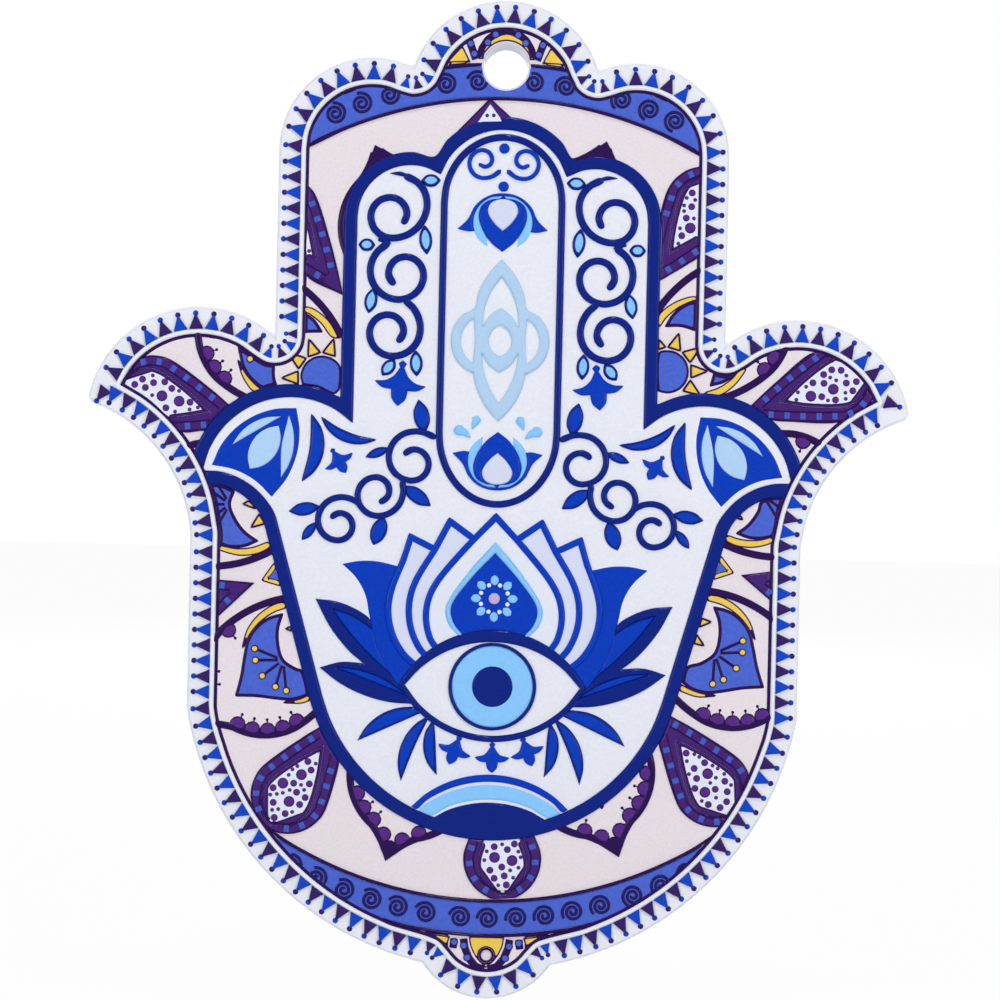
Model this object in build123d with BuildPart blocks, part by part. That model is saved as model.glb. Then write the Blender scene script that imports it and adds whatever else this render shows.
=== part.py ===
from build123d import *
from math import acos, atan2, ceil, cos, degrees, hypot, radians, sin
import os

os.makedirs("parts", exist_ok=True)

# Hamsa hand wall ornament: a cut plate with its ornament laid on in raised, cured ink.
# Sketches are drawn from the ornament's centre, u to the right and v up, in millimetres.
# The part's origin is the hanging hole's centre on the plate's back, and the face looks along -Y.

# Plate
plate_thickness = 5.0
hole_radius = 3.4
lobe_radius = 14.5
lobe_v = 60.45
hole_offset = 4.65
hole_rise = lobe_v + hole_offset
shoulder_radius = 14.0
shoulder_u = 19.8
shoulder_drop = 8.45
shoulder_v = lobe_v - shoulder_drop
thumb_radius = 17.0
thumb_u = 44.9
thumb_v = 11.0
thumb_tip_round = 1.4
waist_radius = 22.5
waist_v = -8.0
palm_half_width = 45.8
palm_radius = 46.5
palm_margin = 5.6
palm_v = palm_radius - hole_rise - palm_margin
foot_radius = 11.4
foot_sunk = 7.2
foot_v = palm_v - palm_radius + foot_sunk

# Ink heights above the plate's face, and how far the straight runs of an ink outline stay from its curves
ground_height = 0.1
fill_height = 0.15
line_height = 0.4
facet_sag = 0.13
scrap_area = 0.15

# Border: a white bead with a fringe of triangles outside it
bead_inset = 3.35
bead_width = 0.75
field_gap = 0.4
fringe_pitch = 2.33
fringe_gap = 0.18
fringe_rise = 1.95
bead_clearance = 0.08

# Mandala: ten petals and ten flowers about the centre, inside a ring of spirals
sector_count = 10
petal_angle = -87.8
flower_angle = petal_angle - 18
ring_width = 4.7
ring_outer = hole_rise
ring_inner = ring_outer - ring_width
ring_line = 0.5
hole_margin = 0.3

# Hand, measured to the inside of its outline band
band_width = 2.0
finger_radius = 9.95
finger_v = 45.55
side_finger_radius = 8.0
side_finger_u = 13.8
side_finger_v = 41.9
hand_thumb_radius = 13.3
hand_thumb_u = 31.0
hand_thumb_v = 1.4
hand_waist_radius = 11.5
hand_waist_u = 43.5
hand_waist_v = -8.0
heel_radius = 26.5
heel_v = -22.6
hand_shoulder_v = -3.3
panel_gap = 0.6
panel_bottom = -1.2
panel_line = 1.05
panel_top_arch = 10.4
panel_bottom_arch = 11.2

# Scrolls, eye and foot of the hand
vine_width = 0.95
eye_v = -28.0
eye_half_width = 14.0
lid_rise = 8.4
lid_drop = 8.2
lid_upper = 1.6
lid_lower = 0.7
iris_radius = 6.6
iris_line = 0.5
pupil_radius = 3.05
arch_radius = 16.5
arch_v = -41.2
arch_line = 1.1
arch_gap = 0.45
arch_band = 2.2
dot_radius = 0.8


def face_plane(rise):
    return Plane(origin=(0, -plate_thickness - rise, -hole_rise), x_dir=(1, 0, 0), z_dir=(0, -1, 0))


# The corners of an outline whose curves are cut into straight runs
def corners(wire):
    points = []
    for edge in wire.order_edges():
        turn = sum((edge % (step / 6)).get_angle(edge % ((step + 1) / 6)) for step in range(6))
        runs = 1
        if turn > 1:
            radius = edge.length / radians(turn)
            runs = ceil(turn / degrees(2 * acos(1 - min(facet_sag / radius, 1))))
        points += [edge @ (run / runs) for run in range(runs)]
    return points


# The same drawing with straight runs, so that the many small solids stay light
def facets(drawing):
    with BuildSketch() as straight:
        for face in drawing.faces():
            with BuildLine():
                Polyline(*corners(face.outer_wire()), close=True)
            make_face()
            for hole in face.inner_wires():
                with BuildLine():
                    Polyline(*corners(hole), close=True)
                make_face(mode=Mode.SUBTRACT)
    return straight.sketch


# A leaf between two points, with how far its left and right sides bulge out
def leaf(start, end, left, right):
    with BuildSketch() as blade:
        with BuildLine():
            SagittaArc(start, end, left)
            SagittaArc(end, start, right)
        make_face()
    return facets(blade.sketch)


# A bud or heart on the axis: round at one end, widest in between, pointed at the other end
def bud(round_end, half_width, widest, tip, tip_bulge):
    side = 1 if round_end > tip else -1
    with BuildSketch() as drop:
        with BuildLine():
            shoulder = Spline((0, round_end), (half_width, widest), tangents=[(1, 0), (0, -side)])
            flank = SagittaArc(shoulder @ 1, (0, tip), tip_bulge * side)
            Line(flank @ 1, (0, round_end))
        make_face()
        mirror(about=Plane.YZ)
    return facets(drop.sketch)


# A scroll of quarter turns: it leaves the start along the heading, and hand is 1 for turning left
def scroll(start, heading, hand, lead, radii, tail, width):
    tangent = (cos(radians(heading)), sin(radians(heading)))
    with BuildLine() as vine:
        JernArc(start, (-tangent[0], -tangent[1]), lead[0], -hand * lead[1])
        turn = JernArc(start, tangent, radii[0], hand * 90)
        for radius in radii[1:]:
            turn = JernArc(turn @ 1, turn % 1, radius, hand * 90)
        JernArc(turn @ 1, turn % 1, tail[0], hand * tail[1])
    with BuildSketch() as stroke:
        SlotArc(vine.wire(), width)
    return facets(stroke.sketch)


# A tulip with flared wings, a neck with a ball and a drop at its foot, pointing down before it is turned
def tulip(u, v, size, turn):
    with BuildSketch() as flower:
        with BuildLine():
            SagittaArc((0.25, 2.6), (3.8, 0.2), -0.75)
            SagittaArc((3.8, 0.2), (1.2, -0.7), 0.35)
            SagittaArc((1.2, -0.7), (0, -3.1), 0.4)
            Polyline((0, -3.1), (0, 2.6), (0.25, 2.6))
        make_face()
        mirror(about=Plane.YZ)
        with Locations((0, 3.1)):
            Circle(0.55)
        scale(by=size)
    with BuildSketch() as placed:
        with Locations(Location((u, v, 0), (0, 0, turn))):
            add(flower.sketch)
    return facets(placed.sketch)


def both_sides(drawing):
    with BuildSketch() as pair:
        add(drawing)
        mirror(about=Plane.YZ)
    return pair.sketch


def joined(*drawings):
    with BuildSketch() as group:
        for drawing in drawings:
            add(drawing)
    return group.sketch


def within(drawing, region):
    with BuildSketch() as part_inside:
        add(drawing)
        add(region, mode=Mode.INTERSECT)
    return part_inside.sketch


def without(drawing, *others):
    with BuildSketch() as rest:
        add(drawing)
        for other in others:
            add(other, mode=Mode.SUBTRACT)
    return rest.sketch


def grown(drawing, amount):
    with BuildSketch() as changed:
        add(drawing)
        offset(amount=amount, kind=Kind.ARC)
    return changed.sketch


def placed(drawing, u, v):
    with BuildSketch() as moved:
        with Locations((u, v)):
            add(drawing)
    return moved.sketch


def disc(radius, u=0, v=0):
    with BuildSketch() as plain:
        with Locations((u, v)):
            Circle(radius)
    return facets(plain.sketch)


# Plate outline: lobes, shoulders, thumbs and palm as circles, with hollow waists below the thumbs
with BuildSketch() as palm_face:
    with Locations((0, palm_v)):
        Circle(palm_radius)
    with Locations((0, thumb_v - palm_radius)):
        Rectangle(2 * palm_half_width, 2 * palm_radius, mode=Mode.INTERSECT)
    with Locations((0, (thumb_v + palm_v) / 2)):
        Rectangle(2 * palm_half_width, thumb_v - palm_v)
with BuildSketch() as plate_face:
    with Locations((0, lobe_v)):
        Circle(lobe_radius)
    with Locations((0, shoulder_v / 2)):
        Rectangle(2 * (shoulder_u + shoulder_radius), shoulder_v)
    with Locations((-shoulder_u, shoulder_v), (shoulder_u, shoulder_v)):
        Circle(shoulder_radius)
    with Locations((-thumb_u, thumb_v), (thumb_u, thumb_v)):
        Circle(thumb_radius)
    add(palm_face.sketch)
    with Locations((0, foot_v)):
        Circle(foot_radius)
    with Locations((-palm_half_width - waist_radius, waist_v), (palm_half_width + waist_radius, waist_v)):
        Circle(waist_radius, mode=Mode.SUBTRACT)
    tips = plate_face.vertices().sort_by(Axis.X)
    fillet([tips[0], tips[-1]], thumb_tip_round)

bead_outer = grown(plate_face.sketch, -bead_inset)
bead_inner = grown(plate_face.sketch, -bead_inset - bead_width)
field = facets(grown(plate_face.sketch, -bead_inset - bead_width - field_gap))
hole_area = disc(hole_radius + hole_margin, 0, hole_rise)

# Hand: three fingers, two curled thumbs and a palm that narrows to a round heel
shoulder_point_u = hand_waist_u - (hand_waist_radius**2 - (hand_shoulder_v - hand_waist_v) ** 2) ** 0.5
reach = hypot(shoulder_point_u, hand_shoulder_v - heel_v)
heel_angle = atan2(hand_shoulder_v - heel_v, shoulder_point_u) - acos(min(1, heel_radius / reach))
heel_point = (heel_radius * cos(heel_angle), heel_v + heel_radius * sin(heel_angle))
side_edge_u = side_finger_u + side_finger_radius
with BuildSketch() as hand_thumbs:
    with Locations((-hand_thumb_u, hand_thumb_v), (hand_thumb_u, hand_thumb_v)):
        Circle(hand_thumb_radius)
    with Locations((-hand_waist_u, hand_waist_v), (hand_waist_u, hand_waist_v)):
        Circle(hand_waist_radius, mode=Mode.SUBTRACT)
    with Locations((0, hand_shoulder_v - hand_thumb_radius)):
        Rectangle(4 * hand_thumb_u, 2 * hand_thumb_radius, mode=Mode.SUBTRACT)
with BuildSketch() as hand_face:
    add(hand_thumbs.sketch)
    with Locations((0, finger_v)):
        Circle(finger_radius)
    with Locations((0, side_finger_v / 2 + hand_shoulder_v / 2)):
        Rectangle(2 * side_edge_u, side_finger_v - hand_shoulder_v)
    with Locations((0, (finger_v + side_finger_v) / 2)):
        Rectangle(2 * finger_radius, finger_v - side_finger_v)
    with Locations((-side_finger_u, side_finger_v), (side_finger_u, side_finger_v)):
        Circle(side_finger_radius)
    with BuildLine():
        shoulder = Polyline((0, hand_shoulder_v), (shoulder_point_u, hand_shoulder_v), heel_point)
        Polyline(shoulder @ 1, (0, heel_point[1]), (0, hand_shoulder_v))
    make_face()
    mirror(about=Plane.YZ)
    with Locations((0, heel_v)):
        Circle(heel_radius)
hand_inside = facets(hand_face.sketch)
hand_edge = facets(grown(hand_face.sketch, band_width))
hand_area = within(hand_inside, field)
mandala_region = without(field, hand_edge, hole_area)
petal_region = within(mandala_region, disc(ring_inner - ring_line))

# Mandala drawings, each along its own axis, measured from the inside of the ring towards the centre
with BuildSketch() as petal_rim_outline:
    with BuildLine():
        ThreePointArc((-22.1, 0), (-13.9, 3.6), (-7.4, 5.8))
        ThreePointArc((-7.4, 5.8), (-2.5, 4.4), (-0.2, 0))
        Line((-0.2, 0), (-22.1, 0))
    make_face()
    mirror(about=Plane.XZ)
with BuildSketch() as petal_field_outline:
    with BuildLine():
        ThreePointArc((-15.4, 0), (-10.9, 2.2), (-6.6, 3.6))
        ThreePointArc((-6.6, 3.6), (-2.8, 2.7), (-1.0, 0))
        Line((-1.0, 0), (-15.4, 0))
    make_face()
    mirror(about=Plane.XZ)
with BuildLine() as scallop_path:
    ThreePointArc((-27.4, 6.6), (-21.9, 8.8), (-15.9, 9.2))
    ThreePointArc((-15.9, 9.2), (-11.4, 7.3), (-8.4, 3.6))
    ThreePointArc((-8.4, 3.6), (-6.6, 1.6), (-4.4, 0))
with BuildSketch() as scallop_line:
    SlotArc(scallop_path.wire(), 0.65)
    mirror(about=Plane.XZ)
with BuildSketch() as flower_outline:
    with BuildLine():
        ThreePointArc((-24.6, 5.6), (-20.6, 6.5), (-16.2, 4.2))
        ThreePointArc((-16.2, 4.2), (-13.8, 1.9), (-11.4, 0))
        Line((-11.4, 0), (-20.5, 0))
        SagittaArc((-20.5, 0), (-24.6, 5.6), -0.8)
    make_face()
    mirror(about=Plane.XZ)
with BuildSketch() as crescent_outline:
    with BuildLine():
        ThreePointArc((-27.0, 6.2), (-21.8, 7.6), (-16.6, 5.1))
        ThreePointArc((-16.6, 5.1), (-21.0, 6.75), (-26.0, 5.9))
        Line((-26.0, 5.9), (-27.0, 6.2))
    make_face()
    mirror(about=Plane.XZ)

# What looks out from behind the hand, measured from the centre
dome_reach = 32.0
dome_radius = 3.3
with BuildSketch() as ray_outline:
    with Locations((dome_reach, 0)):
        for turn in range(-72, 73, 36):
            with Locations(Location((0, 0, 0), (0, 0, turn))):
                Polygon((dome_radius + 0.3, -0.95), (6.0, 0), (dome_radius + 0.3, 0.95), align=None)
with BuildSketch() as star_outline:
    Polygon((37.2, 0), (33.0, 3.0), (33.0, -3.0), align=None)
with BuildSketch() as star_heart_outline:
    Polygon((36.2, 0), (32.4, 2.7), (32.4, -2.7), align=None)


def around(drawing, angle, reach=0):
    with BuildSketch() as ring:
        with PolarLocations(reach, sector_count, start_angle=angle):
            add(drawing)
    return ring.sketch


ring_band = without(within(without(disc(ring_outer), disc(ring_inner)), field), hole_area)
ring_edges = joined(
    without(disc(ring_outer + ring_line), disc(ring_outer)),
    without(disc(ring_inner), disc(ring_inner - ring_line)),
)

# Middle finger
knot_lobe = without(leaf((3.8, 28.8), (4.0, 18.8), 3.5, 0.2), leaf((3.9, 27.2), (4.0, 20.4), 1.95, 0.2))
knot_almond = without(leaf((0, 28.8), (0, 19.0), 3.1, 3.1), leaf((0, 26.1), (0, 21.6), 1.7, 1.7))
with BuildSketch() as knot_vesica:
    with BuildLine():
        ThreePointArc((0, 36.1), (2.8, 32.4), (4.1, 28.0))
        ThreePointArc((4.1, 28.0), (3.8, 23.8), (4.1, 19.6))
        ThreePointArc((4.1, 19.6), (2.8, 15.3), (0, 11.7))
        Line((0, 11.7), (0, 14.5))
        ThreePointArc((0, 14.5), (1.75, 17.5), (2.7, 21.6))
        Line((2.7, 21.6), (2.7, 26.2))
        ThreePointArc((2.7, 26.2), (1.85, 30.4), (0, 33.4))
        Line((0, 33.4), (0, 36.1))
    make_face()
    mirror(about=Plane.YZ)
knot_vesica_face = facets(knot_vesica.sketch)
finger_knot_drawing = joined(knot_vesica_face, knot_almond, both_sides(knot_lobe))
drops_drawing = both_sides(
    joined(
        disc(0.75, -5.8, 10.3), leaf((-6.1, 10.9), (-4.1, 9.2), 0.5, 0.5),
        disc(0.65, -3.3, 11.9), leaf((-3.1, 12.4), (-3.9, 10.5), 0.4, 0.4),
    )
)

# Side fingers and palm, drawn on the left and mirrored
finger_vines = joined(
    scroll((-11.4, 44.1), -90, -1, (4.2, 75), (5.2, 3.2, 2.9, 2.5), (1.6, 40), vine_width),
    scroll((-19.7, 34.0), -90, 1, (4.4, 62), (4.3, 3.7, 2.75, 2.5), (1.8, 50), vine_width),
    scroll((-12.0, 25.3), -90, -1, (5.1, 56), (4.1, 3.5, 2.7, 2.4), (1.7, 50), vine_width),
    leaf((-12.9, 47.4), (-17.1, 48.6), -0.2, 0.75),
)
palm_vines = joined(
    scroll((-12.4, 10.0), 180, 1, (5.4, 30), (3.9, 3.5, 2.5, 2.2), (1.6, 50), vine_width),
    scroll((-14.0, 1.0), -90, -1, (5.0, 14), (3.8, 3.05, 2.75, 2.0), (1.7, 70), vine_width),
    scroll((-23.2, -0.1), 180, 1, (4.1, 40), (3.5, 3.0, 2.2, 1.9), (1.4, 50), vine_width),
)
finger_drop_ends = (
    ((-12.2, 47.6), (-9.6, 47.7)), ((-11.7, 40.8), (-11.3, 36.7)), ((-19.2, 37.8), (-21.4, 37.8)),
    ((-19.2, 31.2), (-19.8, 27.7)), ((-15.8, 20.6), (-17.5, 18.4)), ((-12.6, 22.0), (-12.4, 18.4)),
)
palm_leaf_ends = (
    ((-11.0, 9.8), (-12.0, 14.7), 1.1), ((-16.3, 7.4), (-19.7, 6.0), 0.6),
    ((-14.0, 1.8), (-9.9, -1.1), 1.0), ((-16.8, -3.0), (-18.3, -7.1), 1.1),
    ((-26.5, -1.6), (-31.0, -2.4), 0.9), ((-27.0, -4.0), (-29.0, -6.6), 0.6),
)
finger_drops = joined(*[leaf(root, tip, 0.8, 0.8) for root, tip in finger_drop_ends])
palm_blades = joined(*[leaf(root, tip, half, half) for root, tip, half in palm_leaf_ends])

# Lotus, from the front petal to the back one
with BuildSketch() as front_petal:
    with BuildLine():
        SagittaArc((0, -2.1), (-8.9, -12.3), -0.25)
        ThreePointArc((-8.9, -12.3), (-10.5, -17.0), (-8.3, -23.5))
        Polyline((-8.3, -23.5), (0, -23.5), (0, -2.1))
    make_face()
    mirror(about=Plane.YZ)
front_petal_face = facets(front_petal.sketch)
with BuildSketch() as middle_petal:
    with BuildLine():
        SagittaArc((-7.0, -2.9), (-12.0, -12.0), 0.15)
        ThreePointArc((-12.0, -12.0), (-13.1, -17.0), (-9.8, -24.5))
        Polyline((-9.8, -24.5), (0, -24.5), (0, -8.0), (-3.0, -5.7))
        Line((-3.0, -5.7), (-7.0, -2.9))
    make_face()
    mirror(about=Plane.YZ)
middle_petal_face = facets(middle_petal.sketch)
with BuildSketch() as back_petal:
    with BuildLine():
        SagittaArc((-12.9, -5.4), (-15.6, -13.2), 0.15)
        ThreePointArc((-15.6, -13.2), (-16.1, -18.0), (-11.5, -25.6))
        Polyline((-11.5, -25.6), (0, -25.6), (0, -12.0), (-9.4, -7.1))
        Line((-9.4, -7.1), (-12.9, -5.4))
    make_face()
    mirror(about=Plane.YZ)
back_petal_face = facets(back_petal.sketch)
with BuildSketch() as outer_petal:
    with BuildLine():
        ThreePointArc((-22.9, -10.1), (-20.3, -12.8), (-18.7, -17.6))
        ThreePointArc((-18.7, -17.6), (-17.2, -23.0), (-13.5, -29.0))
        Polyline((-13.5, -29.0), (0, -29.0), (0, -12.0), (-14.8, -10.2))
        SagittaArc((-14.8, -10.2), (-22.9, -10.1), -0.6)
    make_face()
    mirror(about=Plane.YZ)
outer_petal_face = facets(outer_petal.sketch)
lid_corner_left = (-eye_half_width, eye_v)
lid_corner_right = (eye_half_width, eye_v)
with BuildSketch() as eye_outline:
    with BuildLine():
        ThreePointArc(lid_corner_left, (0, eye_v + lid_rise), lid_corner_right)
        ThreePointArc(lid_corner_right, (0, eye_v - lid_drop), lid_corner_left)
    make_face()
eye_outline_face = facets(eye_outline.sketch)
opening_u = eye_half_width - lid_lower
with BuildSketch() as eye_opening:
    with BuildLine():
        ThreePointArc((-opening_u, eye_v), (0, eye_v + lid_rise - lid_upper), (opening_u, eye_v))
        ThreePointArc((opening_u, eye_v), (0, eye_v - lid_drop + lid_lower), (-opening_u, eye_v))
    make_face()
eye_opening_face = facets(eye_opening.sketch)
petal_line = 0.65
front_line = without(front_petal_face, grown(front_petal_face, -petal_line), eye_outline_face)
middle_line = without(
    middle_petal_face, grown(middle_petal_face, -petal_line), front_petal_face, eye_outline_face
)
back_line = without(
    back_petal_face, grown(back_petal_face, -petal_line),
    middle_petal_face, front_petal_face, eye_outline_face,
)
petal_lines_drawing = joined(front_line, middle_line, back_line)
rim_drawing = bud(-21.5, 7.2, -16.4, -6.4, 0.5)
heart_drawing = bud(-21.5, 6.45, -16.2, -8.0, 0.4)
side_leaf_upper = leaf((-26.8, -15.4), (-13.8, -28.4), 3.9, 1.8)
side_leaf_lower = leaf((-26.0, -25.7), (-11.5, -30.9), 3.1, 1.5)
side_leaves_drawing = without(
    joined(side_leaf_upper, side_leaf_lower), outer_petal_face, eye_outline_face
)
side_leaf_hearts_drawing = without(
    joined(
        leaf((-24.2, -16.9), (-13.8, -27.6), 2.3, 0.6), leaf((-23.5, -25.6), (-12.9, -29.5), 1.0, 0.1)
    ),
    outer_petal_face, eye_outline_face,
)
lash_drawing = without(
    joined(
        leaf((-9.5, -31.7), (-20.1, -36.6), 0.1, 2.3),
        leaf((-9.2, -32.4), (-13.4, -42.5), -0.2, 2.2),
        leaf((-8.75, -33.0), (-8.0, -41.5), 0.1, 1.8),
    ),
    eye_outline_face,
)

# Thumb petals
with BuildSketch() as thumb_petal:
    with BuildLine():
        SagittaArc((-30.3, 13.1), (-42.8, 4.3), -2.7)
        SagittaArc((-42.8, 4.3), (-33.7, -0.3), 1.1)
        SagittaArc((-33.7, -0.3), (-30.3, 13.1), -1.9)
    make_face()
thumb_petal_face = facets(thumb_petal.sketch)
thumb_inner_drawing = joined(
    leaf((-31.4, 12.0), (-32.4, 2.6), 1.3, 0.5),
    leaf((-32.9, 10.4), (-37.1, 3.8), 2.0, 2.0),
    leaf((-32.6, 11.8), (-39.8, 7.4), 0.1, 1.3),
)

# Middle finger, continued: one bud drawn at the top and turned over about the finger's middle
finger_middle_v = 23.7
bud_body = bud(45.2, 3.6, 42.5, 37.2, 0.75)
bud_heart = bud(45.1, 2.3, 43.2, 40.3, 0.3)
bud_petal = without(both_sides(leaf((0.1, 45.6), (2.2, 37.9), 3.3, -1.2)), bud_body)
with BuildSketch() as bud_wing:
    with BuildLine():
        SagittaArc((0, 46.0), (4.3, 43.9), 0.6)
        SagittaArc((4.3, 43.9), (6.8, 40.5), -0.35)
        SagittaArc((6.8, 40.5), (3.4, 40.3), 0.25)
        Polyline((3.4, 40.3), (0, 43.0), (0, 46.0))
    make_face()
    mirror(about=Plane.YZ)
bud_wing_face = facets(bud_wing.sketch)
bud_leaf = without(bud_wing_face, bud_petal, bud_body)


def upper_and_lower(drawing):
    with BuildSketch() as pair:
        add(drawing)
        mirror(about=Plane((0, finger_middle_v, 0), z_dir=(0, 1, 0)))
    return pair.sketch


# The panel of the middle finger: straight sides between two half ellipses
def panel(inset):
    half_width = finger_radius - panel_gap - inset
    top_v = finger_v + finger_radius - panel_gap - panel_top_arch
    bottom_v = panel_bottom + panel_bottom_arch
    with BuildSketch() as outline:
        with Locations((0, (top_v + bottom_v) / 2)):
            Rectangle(2 * half_width, top_v - bottom_v)
        with Locations((0, top_v)):
            Ellipse(half_width, panel_top_arch - inset)
        with Locations((0, bottom_v)):
            Ellipse(half_width, panel_bottom_arch - inset)
    return facets(outline.sketch)


finger_curl = scroll((-3.0, 48.2), 180, -1, (3.05, 50), (2.2, 2.0, 1.4, 1.1), (0.9, 50), 0.45)

# Border fringe: triangles side by side along the outer edge of the bead, in two colours by turns
bead_face = facets(bead_outer)
fringe_wire = bead_outer.face().outer_wire()
fringe_count = 2 * round(fringe_wire.length / fringe_pitch / 2)
fringe_base = fringe_wire.length / fringe_count - fringe_gap
fringe_places = [
    Plane(
        origin=fringe_wire.position_at(step / fringe_count),
        x_dir=fringe_wire.tangent_at(step / fringe_count),
        z_dir=(0, 0, 1),
    )
    for step in range(fringe_count)
]


def fringe(places):
    foot = fringe_base / 2
    with BuildSketch() as triangles:
        with Locations(*places):
            Polygon((-foot, -bead_clearance), (foot, -bead_clearance), (0, -fringe_rise), align=None)
    return without(triangles.sketch, bead_face)


# Foot and top of the mandala, outside the ring of spirals, measured from the ring and from the hole
with BuildSketch() as foot_gold:
    with BuildLine():
        SagittaArc((-2.8, 0.1), (0, -5.2), -0.7)
        Polyline((0, -5.2), (0, 0.1), (-2.8, 0.1))
    make_face()
    with BuildLine():
        Polyline((-10.8, 1.1), (-5.7, 1.1), (-5.7, -2.2), close=True)
    make_face()
    mirror(about=Plane.YZ)
with BuildSketch() as top_gold:
    with BuildLine():
        SagittaArc((0, 4.9), (4.3, 0.9), 0.9)
        Polyline((4.3, 0.9), (0, 0.9), (0, 4.9))
    make_face()
    with BuildLine():
        Polyline((9.4, -1.1), (5.4, -1.1), (6.8, 2.9), close=True)
    make_face()
    mirror(about=Plane.YZ)
foot_ring_v = -ring_outer - 3.2
foot_ring_radius = 1.15
foot_ring_line = 0.35
outside_ring = without(mandala_region, disc(ring_outer + ring_line))

# Palm leaves that curl beside the thumb
curled_leaves = joined(
    leaf((-28.0, 12.2), (-29.2, 2.2), 2.5, -0.5), leaf((-26.5, 11.8), (-18.3, 8.6), -0.6, 2.0)
)

# Rosette in the lotus heart
rosette_v = -14.8
with BuildSketch() as rosette_drawing:
    with Locations((0, rosette_v)):
        Circle(0.85)
        with PolarLocations(2.75, 8):
            Ellipse(0.8, 0.6)


def arch(apex):
    return disc(arch_radius, 0, apex - arch_radius)


band_v = arch_v - arch_line - arch_gap

# Areas that the ink keeps to
plate_area = without(plate_face.sketch, hole_area)
panel_area = within(panel(panel_line), hand_area)
open_hand = without(hand_area, panel(0))
half_reach = hole_rise + lobe_radius
with BuildSketch() as upper_half:
    with Locations((0, half_reach / 2)):
        Rectangle(2 * half_reach, half_reach)
with BuildSketch() as lower_half:
    with Locations((0, -half_reach / 2)):
        Rectangle(2 * half_reach, half_reach)

on_plate = 0
on_ground = ground_height
on_fill = ground_height + fill_height
pieces = {}


# Each deposit of ink keeps to its area, without the scraps where it only grazes the area's edge,
# and stands on the plate or on the ink below it
def deposit(name, drawing, area, rise, height):
    with BuildPart() as ink:
        with BuildSketch(face_plane(rise)):
            add(within(drawing, area).faces().filter_by(lambda face: face.area > scrap_area))
        extrude(amount=height)
    pieces[name] = ink


with BuildPart() as plate:
    with BuildSketch(face_plane(-plate_thickness)):
        add(plate_face.sketch)
        with Locations((0, hole_rise)):
            Circle(hole_radius, mode=Mode.SUBTRACT)
    extrude(amount=plate_thickness)
pieces["plate"] = plate

# Border
deposit("border_bead", without(bead_face, facets(bead_inner)), plate_area, on_plate, line_height)
deposit("fringe_blue", fringe(fringe_places[0::2]), plate_area, on_plate, line_height)
deposit("fringe_purple", fringe(fringe_places[1::2]), plate_area, on_plate, line_height)

# Mandala
petals = around(facets(petal_rim_outline.sketch), petal_angle, ring_inner)
petal_fields = around(facets(petal_field_outline.sketch), petal_angle, ring_inner)
scallops = without(around(facets(scallop_line.sketch), flower_angle, ring_inner), petals)
flowers = without(around(facets(flower_outline.sketch), flower_angle, ring_inner), petals, scallops)
crescent_pairs = around(facets(crescent_outline.sketch), flower_angle, ring_inner)
crescents = without(crescent_pairs, petals, scallops, flowers)
domes = around(disc(dome_radius, dome_reach), flower_angle)
rays = without(around(ray_outline.sketch, flower_angle), flowers, crescents, domes)
stars = without(around(star_outline.sketch, petal_angle), petals, scallops, rays)
star_hearts = within(around(star_heart_outline.sketch, petal_angle), stars)
deposit("ring_band_top", within(ring_band, upper_half.sketch), mandala_region, on_plate, fill_height)
deposit("ring_band_bottom", within(ring_band, lower_half.sketch), mandala_region, on_plate, fill_height)
deposit("ring_edges", ring_edges, mandala_region, on_plate, line_height)
deposit("petal_rims", without(petals, petal_fields), petal_region, on_plate, line_height)
deposit("petal_fields", petal_fields, petal_region, on_plate, fill_height)
deposit("scallop_edges", scallops, petal_region, on_plate, line_height)
deposit("flower_fields", flowers, petal_region, on_plate, fill_height)
deposit("flower_crescents", crescents, petal_region, on_plate, fill_height)
deposit("flower_domes", domes, petal_region, on_plate, fill_height)
deposit("flower_rays", rays, petal_region, on_plate, fill_height)
deposit("star_points_gold", without(stars, star_hearts), petal_region, on_plate, fill_height)
deposit("star_points_blue", star_hearts, petal_region, on_plate, fill_height)
foot_ring_disc = disc(foot_ring_radius, 0, foot_ring_v)
foot_ring_hole = disc(foot_ring_radius - foot_ring_line, 0, foot_ring_v)
deposit("top_lobe_gold", facets(placed(top_gold.sketch, 0, hole_rise)), outside_ring, on_plate, fill_height)
foot_gold_pieces = without(facets(placed(foot_gold.sketch, 0, -ring_outer)), foot_ring_disc)
deposit("foot_lobe_gold", foot_gold_pieces, outside_ring, on_plate, fill_height)
deposit("foot_lobe_ring", without(foot_ring_disc, foot_ring_hole), outside_ring, on_plate, line_height)

# Hand
deposit("hand_band", without(hand_edge, hand_inside), field, on_plate, line_height)
deposit("hand_ground", hand_inside, field, on_plate, ground_height)

# Middle finger
finger_dots = joined(disc(dot_radius, 0, 52.7), disc(dot_radius, 0, 47.0))
deposit("finger_panel_line", without(panel(0), panel(panel_line)), hand_area, on_ground, line_height)
deposit("finger_curls", both_sides(finger_curl), panel_area, on_ground, line_height)
deposit("finger_dots", finger_dots, panel_area, on_ground, line_height)
deposit("bud_leaves", upper_and_lower(bud_leaf), panel_area, on_ground, line_height)
deposit("bud_petals", upper_and_lower(bud_petal), panel_area, on_ground, fill_height)
deposit("bud_bodies", upper_and_lower(without(bud_body, bud_heart)), panel_area, on_ground, line_height)
deposit("bud_hearts", upper_and_lower(bud_heart), panel_area, on_ground, fill_height)
deposit("finger_knot", finger_knot_drawing, panel_area, on_ground, line_height)
deposit("finger_drop_pair", drops_drawing, panel_area, on_ground, line_height)

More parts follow.
